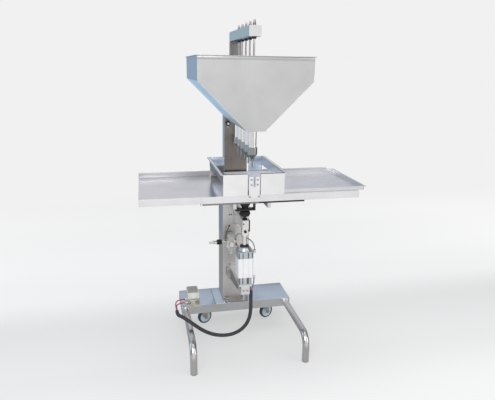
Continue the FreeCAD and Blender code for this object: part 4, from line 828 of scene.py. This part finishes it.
def make_welds():
    """Weld beads: leg tubes at the base, the column at its foot, and the folds of the hopper."""
    beads = []
    for side, _ in SIDES:
        ring = []
        for step in range(LEG_BEAD_STEPS + 1):
            angle = 2 * math.pi * step / LEG_BEAD_STEPS
            ring.append((side * LEG_SPREAD + LEG_BEAD_RADIUS * math.cos(angle), -0.6,
                         LEG_SOCKET_HEIGHT + LEG_BEAD_RADIUS * math.sin(angle)))
        beads.append(bead_mesh(ring, 1.4))
        foot = [(side * 62.5, COLUMN_FRONT - 1, FOOT_TOP + 0.6),
                (side * COLUMN_SIDE, COLUMN_FRONT - 0.4, FOOT_TOP + 0.4)]
        beads.append(bead_mesh(foot, 0.6))
        fold = side * (HOPPER_SIDE - 0.4)
        face = HOPPER_FRONT + 0.3
        corner = [(fold, face, HOPPER_RIM), (fold, face, HOPPER_KNEE),
                  (side * 38.9, face, under("hopper_shell") + 0.3)]
        beads.append(bead_mesh(corner, 0.7))
    joined("weld_beads", beads, "guard")


def make_column_details():
    """Screws on the column's front."""
    screws = [cap_screw_mesh((x, COLUMN_FRONT, z), FORWARD, radius, height)
              for x, z, radius, height in COLUMN_SCREWS]
    joined("column_screws", screws, "black_metal", "stand", "black_steel")


def make_base_sheets():
    """The base's top in two sheets in a painted blue-grey reflection with painted shade in the seam between
    them, and the fillets and cover of the column's foot in painted shade.
    """
    near, far = 1.2, back("base_beam") - 1
    low, high = BASE_TOP - 0.1, BASE_TOP + 0.8
    end = right("base_beam") - 0.6
    left_edge, right_edge = BASE_SEAM - SEAM_HALF, BASE_SEAM + SEAM_HALF
    block("base_top_left", (-end, near, low), (left_edge, far, high), 0.2, "base_top")
    block("base_top_right", (right_edge, near, low), (end, far, high), 0.2, "base_top")
    # Painted shade in the seam between the two sheets
    block("base_seam", (left_edge, near, low), (right_edge, far, BASE_TOP + 0.3), 0.1, "recess", "stand",
          "black_plastic")
    fillets = [block_mesh((side * 66 - 4.2, COLUMN_FRONT + 0.5, BASE_TOP + 0.5),
                          (side * 66 + 4.2, back("lower_column") - 0.5, FOOT_TOP + 0.4), 1.2)
               for side, _ in SIDES]
    fillets.append(block_mesh((-62.6, front("lower_column") - 0.7, BASE_TOP + 0.9),
                              (62.6, COLUMN_FRONT - 0.5, FOOT_TOP + 0.5), 0.5))
    joined("foot_fillets", fillets, "foot")


# Pedal
RIDGES = 9
MAT_MARGIN = 4
PORT = [(0, -1.5), (4.2, -1.5), (4.2, 0.4), (6.9, 0.4), (6.9, -2.5)]


def make_pedal_details():
    """Ribbed mat on the tread, and the dark ports on the pedal's front."""
    low, high = node_box("pedal_tread")
    tread = high[2]
    mats = [block_mesh((low[0] + MAT_MARGIN, low[1] + 9, tread - 0.6),
                       (high[0] - MAT_MARGIN, high[1] - 8, tread + 1.2), 0.6)]
    first, last = low[0] + 2 * MAT_MARGIN, high[0] - 2 * MAT_MARGIN
    for index in range(RIDGES):
        x = first + index * (last - first) / (RIDGES - 1)
        mats.append(block_mesh((x - 1.2, low[1] + 12, tread + 0.4),
                               (x + 1.2, high[1] - 11, tread + 2.2), 0.5))
    joined("pedal_mat", mats, "olive", "pedal_tread", "black_rubber")
    ports = [turned_at(PORT, at(x, 1, 181), FORWARD, 28) for x in (-254, -214)]
    joined("pedal_ports", ports, "black", "stand", "black_plastic")


# Table and guard
def make_table_trim():
    """Fences between wing and guard with their faces in painted shade, and a strip of painted shade under
    the front flange.
    """
    wing_side, fence_top = right("table_wing_right"), top("table_wing_right")
    fences = []
    faces = []
    for side, _ in SIDES:
        start, end = across(side, GUARD_WALL + 0.4, right("table_deck"))
        fences.append(block_mesh((start, DECK_BACK - 2, DECK_TOP - 0.1),
                                 (end, DECK_BACK, fence_top), 0.4))
        start, end = across(side, GUARD_WALL + 1, wing_side - 0.6)
        faces.append(block_mesh((start, FACING_FRONT, DECK_TOP + 0.3),
                                (end, FACING_BACK, fence_top - 0.6), 0.2))
    joined("deck_fences", fences, "deck")
    joined("fence_faces", faces, "fence")
    # Painted shade under the front flange: grey at the left, black at the right where the shadow is deeper
    near, far = DECK_FRONT + 0.4, DECK_FRONT + 9.8
    low, high = under("table_deck") - 7.5, under("table_deck") + 0.2
    block("flange_shade_left", (-221, near, low), (24, far, high), 0.6, "nut")
    block("flange_shade_right", (24, near, low), (226, far, high), 0.6, "black_metal", "stand", "black_steel")


def make_guard_faces():
    """The guard's outside in painted shade, and its inside and the faces of its rear sheets in a painted
    blue reflection.
    """
    sill = 902.4
    facing = 0.7
    near, far = DECK_FRONT + 2.4, DECK_BACK - 0.4
    for side, word in SIDES:
        outer = upright(near, far, sill, GUARD_TOP - 2.4)
        slab("guard_outside_" + word, outer, *across(side, GUARD_WALL, GUARD_WALL + facing), "guard_outside")
        inner = upright(near, DECK_BACK - 2.2, sill, GUARD_TOP - 0.4)
        face = GUARD_WALL - GUARD_SHEET
        slab("guard_inside_" + word, inner, *across(side, face, face - facing), "guard_inside")
        start, end = across(side, 62.4, face - 0.8)
        block("guard_rear_" + word, (start, FACING_FRONT, sill), (end, FACING_BACK, GUARD_TOP - 0.2), 0.2,
              "guard_rear")
        # The left skirt carries painted shade, the right one a painted blue-grey reflection
        skirt = "guard_outside" if word == "left" else "guard_rear"
        block("guard_skirt_" + word, (start, FACING_FRONT, DECK_TOP + 0.6), (end, FACING_BACK, sill), 0.2,
              skirt)


def make_guard_hems():
    """Painted shade as dark lines along the guard's folded edges."""
    near, far = DECK_FRONT + 1.1, DECK_BACK - 0.6
    crest = GUARD_TOP + 0.3
    wall, lip = GUARD_WALL - 0.8, GUARD_SIDE - 0.6
    gap = GUARD_GAP - 0.4
    hems = []
    for side, _ in SIDES:
        lines = (
            ([(GUARD_GAP + 0.4, near, GUARD_TOP + 0.6), (GUARD_WALL - 0.4, near, GUARD_TOP + 0.6)], 1.5),
            ([(wall, near, crest), (wall, far, crest)], 0.8),
            ([(lip, DECK_FRONT + 2.4, GUARD_TOP - 0.4), (lip, far, GUARD_TOP - 0.4)], 0.9),
            ([(63, DECK_BACK - 1, crest), (GUARD_SIDE - 1, DECK_BACK - 1, crest)], 0.8),
            ([(gap, DECK_FRONT + 0.4, DECK_TOP + 1), (gap, DECK_FRONT + 0.4, GUARD_TOP)], 0.8),
        )
        hems += [bead_mesh([(side * x, y, z) for x, y, z in line], radius) for line, radius in lines]
    joined("guard_hems", hems, "hem", "stand", "black_steel")


# Painted sheen: films of a cool colour on the left sides that stand for reflected light
SHEEN_DEPTH = 0.45
SHEEN_GAP = 0.02
HOPPER_NECK = 39.8
HOPPER_BOTTOM = 1128.5


def painted_left_sheen(name, face, outline, finish, body):
    """A film of painted sheen on a left face, a hair away so that the two don't share a plane."""
    slab(name, outline, face - SHEEN_DEPTH, face - SHEEN_GAP, finish, body)


def make_side_films():
    """Painted sheen: the cool reflected light on the left sides of hopper, column and beam, as films of
    colour that lie on them.
    """
    near, far = HOPPER_FRONT + 0.6, HOPPER_BACK - 0.6
    painted_left_sheen("hopper_side_painted_sheen", -HOPPER_SIDE, upright(near, far, HOPPER_KNEE, HOPPER_RIM - 0.4),
              "hopper_side", "stand")
    corners = [(-HOPPER_SIDE - SHEEN_DEPTH, HOPPER_KNEE), (-HOPPER_NECK - SHEEN_DEPTH, HOPPER_BOTTOM),
               (-HOPPER_NECK, HOPPER_BOTTOM), (-HOPPER_SIDE, HOPPER_KNEE)]
    prism("hopper_slope_painted_sheen", [at(x, near, z - SHEEN_DEPTH / 2) for x, z in corners],
          [at(x, far, z - SHEEN_DEPTH / 2) for x, z in corners], "hopper_slope")
    column = upright(COLUMN_FRONT + 2, back("lower_column") - 2, 533, top("lower_column") - 2)
    painted_left_sheen("column_side_painted_sheen", -COLUMN_SIDE, column, "hopper_side", "stand")
    low, high = node_box("top_beam")
    edge = 0.8
    beam = upright(low[1] + edge, high[1] - edge, low[2] + edge, high[2] - edge)
    painted_left_sheen("beam_side_painted_sheen", low[0], beam, "beam_side", "dosing_carriage")


# Hopper, mast tube and arm
CLAMP_CAP = [(0, 0.9), (5.6, 0.9), (6.4, 0.2), (6.4, -0.3), (0, -0.3)]
CLAMP_SPREAD = 42
CLAMP_HEIGHT = 1113


def make_hopper_band():
    """The hopper's folded top edge."""
    half = HOPPER_SIDE - 0.6
    block("hopper_band", (-half, HOPPER_FRONT - 0.7, HOPPER_RIM - 14),
          (half, HOPPER_FRONT + 0.1, HOPPER_RIM - 0.1), 0.2, "hopper_band")


def make_mast_tube_marks():
    """On the mast tube behind the nozzles: a dark slit of painted shadow where the guard's top edge falls, a
    dark line and a screw.
    """
    face = MAST_TUBE_FRONT
    marks = [block_mesh((-57, face - 0.7, 944.6), (-45, face + 0.1, 947.6), 0.3),
             bead_mesh([(-23, face - 0.1, 866), (-23, face - 0.1, 944)], 0.7),
             cap_screw_mesh((-52, face + 0.2, 1032), FORWARD, 3.2, 1.6)]
    joined("mast_tube_marks", marks, "recess", "stand", "black_plastic")


def make_clamp_caps():
    """Bright caps on the two clamp knobs."""
    face = front("clamp_knobs")
    caps = [turned_at(CLAMP_CAP, at(side * CLAMP_SPREAD, face, CLAMP_HEIGHT), FORWARD, 28)
            for side, _ in SIDES]
    joined("clamp_caps", caps, "plated", "stand", "plated")


def make_arm_details():
    """The cover that closes the column's slot behind the drive arm, and the arm's dark cheek and screw."""
    block("slot_cover", (-30, COLUMN_FRONT + 3.3, 590), (30, COLUMN_FRONT + 4.5, 735), 0.4, "column",
          "dosing_carriage")
    side, near = right("drive_arm"), front("drive_arm")
    cheek = [block_mesh((side + 0.2, near + 0.4, 628), (side + 6.4, near + 25, 684), 0.6),
             cap_screw_mesh((-10, near + 0.2, 668), FORWARD, 3.4, 2.0)]
    joined("arm_cheek", cheek, "black_metal", "dosing_carriage", "black_steel")


# Camera: fitted to the photo's lines, with its place in machine millimetres
PHOTO_WIDTH = 495
FOCAL_PIXELS = 480.2
SENSOR_WIDTH = 36
CAMERA_PLACE = (-455.7, -2305.0, 1380.7)
CAMERA_YAW = math.radians(12.38)
CAMERA_PITCH = math.radians(15.42)
CAMERA_ROLL = math.radians(0.8)


def make_camera():
    data = bpy.data.cameras.new("camera")
    data.sensor_width = SENSOR_WIDTH
    data.lens = FOCAL_PIXELS * SENSOR_WIDTH / PHOTO_WIDTH
    # Turned about the upright by the yaw, tilted from level by the pitch and rolled about its own view
    turn = Matrix.Rotation(-CAMERA_YAW, 4, "Z") @ Matrix.Rotation(math.pi / 2 - CAMERA_PITCH, 4, "X")
    turn @= Matrix.Rotation(CAMERA_ROLL, 4, "Z")
    camera = put("camera", data)
    camera.matrix_world = Matrix.Translation(at(*CAMERA_PLACE)) @ turn
    bpy.context.scene.camera = camera


# Studio: what the camera sees behind the object
BACKDROP = (0.879, 0.879, 0.879)
# What the metal mirrors around it: pale in front, blue-grey behind and at the left, dark at the right
MIRROR_FRONT = (0.92, 0.915, 0.91)
MIRROR_BACK = (0.42, 0.50, 0.60)
MIRROR_ABOVE = (0.64, 0.645, 0.675)
MIRROR_LEFT = (0.20, 0.27, 0.37)
MIRROR_RIGHT = (0.15, 0.15, 0.155)
# The floor's tone towards the camera, by depth in metres: a darker band of painted shadow near the machine
# between brighter painted bands in front and behind
FLOOR_PAINTED_SHADE = ((-1.6, 0.879), (-0.6, 0.95), (-0.15, 0.80), (0.25, 0.73), (0.65, 0.92), (1.1, 0.95),
               (1.9, 0.92), (2.8, 0.879))
# What the metal mirrors of the floor, by depth in metres
FLOOR_MIRROR = ((-2.0, MIRROR_FRONT), (-0.9, (0.88, 0.875, 0.87)), (-0.3, (0.50, 0.495, 0.49)),
                (0.6, (0.26, 0.26, 0.255)), (1.6, (0.27, 0.28, 0.285)), (3.2, (0.27, 0.36, 0.47)),
                (5.0, (0.50, 0.74, 1.0)), (11.0, (0.56, 0.80, 1.0)), (16.0, (0.26, 0.42, 0.62)))
FLOOR_REACH = 40.0
FLOOR_MATTE = (0.84, 0.84, 0.84)
# The share of the set tone in what the camera sees of the floor, which rises with distance in metres
TONE_NEAR = 1.2
TONE_FAR = 3.4
TONE_SHARE = 0.62
# The share of the set mirror colours in what the metal shows of the floor
MIRROR_SHARE = 0.85
# The dark side at the right: how fast it narrows towards the front and back, and its soft edge
ASIDE_SLOPE = 0.6
ASIDE_START = 0.3
ASIDE_END = 1.8
# Area lights: place, target and size in metres, power in watts and colour
LIGHTS = {
    "key": ((-1.4, -3.2, 3.0), (0, 0, 0.9), (2.2, 2.2), 46, (1, 1, 1)),
    "fill": ((3.0, -2.0, 1.6), (0, 0, 0.9), (1.6, 2.6), 26, (1, 1, 1)),
    "side": ((-3.2, 0.6, 1.4), (0, 0, 0.9), (1.4, 2.6), 13, (0.78, 0.88, 1.0)),
    "top": ((0.2, 0.4, 4.2), (0, 0, 0), (2.6, 2.6), 34, (1, 1, 1)),
}


class Studio(Graph):
    """Nodes of the world or the floor."""

    def __init__(self, tree):
        super().__init__(tree)
        self.nodes.clear()

    def coordinate(self, output):
        return self.add("ShaderNodeTexCoord").outputs[output]

    def split(self, vector):
        """X, Y and Z of a vector."""
        node = self.add("ShaderNodeSeparateXYZ", {"Vector": vector})
        return [node.outputs[axis] for axis in "XYZ"]

    def ease(self, source, start, end, low=0.0, high=1.0):
        return self.span(source, start, end, low, high, "SMOOTHSTEP")

    def ramp(self, source, stops):
        """Colours by place along a coordinate in metres."""
        first, last = stops[0][0], stops[-1][0]
        node = self.add("ShaderNodeValToRGB", {"Fac": self.span(source, first, last)})
        node.color_ramp.interpolation = "EASE"
        elements = node.color_ramp.elements
        while len(elements) < len(stops):
            elements.new(0.5)
        for element, (place, color) in zip(elements, stops):
            element.position = (place - first) / (last - first)
            element.color = (*color, 1)
        return node.outputs["Color"]

    def layer(self, factor, first, second):
        return self.add("ShaderNodeMixShader", {0: factor, 1: first, 2: second}).outputs["Shader"]

    def shade(self, kind, color):
        return self.add(kind, {"Color": color}).outputs[0]


def make_world():
    """A pale studio: plain towards the camera, and a soft gradient for what the metal mirrors."""
    world = bpy.data.worlds.new("studio")
    bpy.context.scene.world = world
    world.use_nodes = True
    studio = Studio(world.node_tree)
    x, y, z = studio.split(studio.coordinate("Generated"))
    rear = studio.mix(studio.ease(z, 0.02, 0.22), MIRROR_BACK, MIRROR_ABOVE)
    color = studio.mix(studio.ease(y, -0.9, 0.8), MIRROR_FRONT, rear)
    color = studio.mix(studio.ease(x, -0.35, -0.95), color, MIRROR_LEFT)
    color = studio.mix(studio.ease(x, 0.45, 0.95), color, MIRROR_RIGHT)
    path = studio.add("ShaderNodeLightPath")
    surface = studio.layer(path.outputs["Is Camera Ray"], studio.shade("ShaderNodeBackground", color),
                           studio.shade("ShaderNodeBackground", BACKDROP))
    studio.add("ShaderNodeOutputWorld", {"Surface": surface})


def floor_material():
    """Matte with a set tone for the camera that holds a painted shadow, and set colours for what the metal
    mirrors.
    """
    material = bpy.data.materials.new("pale_floor")
    material.use_nodes = True
    studio = Studio(material.node_tree)
    place = studio.coordinate("Object")
    x, y, _ = studio.split(place)
    tone = studio.ramp(y, [(depth, (grey, grey, grey)) for depth, grey in FLOOR_PAINTED_SHADE])
    distance = studio.add("ShaderNodeVectorMath", {0: place}, operation="LENGTH").outputs["Value"]
    path = studio.add("ShaderNodeLightPath")
    share = studio.ease(distance, TONE_NEAR, TONE_FAR, TONE_SHARE, 1.0)
    seen = studio.combine("MULTIPLY", path.outputs["Is Camera Ray"], share)
    matte = studio.shade("ShaderNodeBsdfDiffuse", FLOOR_MATTE)
    surface = studio.layer(seen, matte, studio.shade("ShaderNodeEmission", tone))
    # Only what lies well to the right, against its depth, is dark in the mirror
    narrowing = studio.combine("MULTIPLY", studio.combine("ABSOLUTE", y), ASIDE_SLOPE)
    aside = studio.combine("SUBTRACT", x, narrowing)
    mirrored_color = studio.mix(studio.ease(aside, ASIDE_START, ASIDE_END), studio.ramp(y, FLOOR_MIRROR),
                                MIRROR_RIGHT)
    glossy = studio.combine("MULTIPLY", path.outputs["Is Glossy Ray"], MIRROR_SHARE)
    surface = studio.layer(glossy, surface, studio.shade("ShaderNodeEmission", mirrored_color))
    studio.add("ShaderNodeOutputMaterial", {"Surface": surface})
    return material


def make_floor():
    """A pale floor that keeps the object's soft shadow, adds a band of painted shadow and runs into the
    backdrop with no edge.
    """
    mesh = bpy.data.meshes.new("floor")
    corners = [(x * FLOOR_REACH, y * FLOOR_REACH, 0) for x, y in ((-1, -1), (1, -1), (1, 1), (-1, 1))]
    mesh.from_pydata(corners, [], [(0, 1, 2, 3)])
    mesh.materials.append(floor_material())
    put("floor", mesh)


def make_lights():
    for name, (place, target, size, power, color) in LIGHTS.items():
        data = bpy.data.lights.new(name, "AREA")
        data.shape = "RECTANGLE"
        data.size, data.size_y = size
        data.energy = power
        data.color = color
        light = put(name, data)
        light.location = place
        light.rotation_euler = (Vector(target) - Vector(place)).to_track_quat("-Z", "Y").to_euler()


dress_nodes()
dress_casters()
make_hoses()
make_gauge()
make_knurl()
make_rings()
make_head_screws()
make_lock_nuts()
make_plunger_threads()
make_welds()
make_pedal_details()
make_column_details()
make_base_sheets()
make_table_trim()
make_guard_faces()
make_guard_hems()
make_side_films()
make_hopper_band()
make_mast_tube_marks()
make_clamp_caps()
make_arm_details()
make_cylinder_details()
make_world()
make_floor()
make_lights()
make_camera()
bpy.context.scene.view_settings.view_transform = "Standard"

bpy.context.view_layer.update()
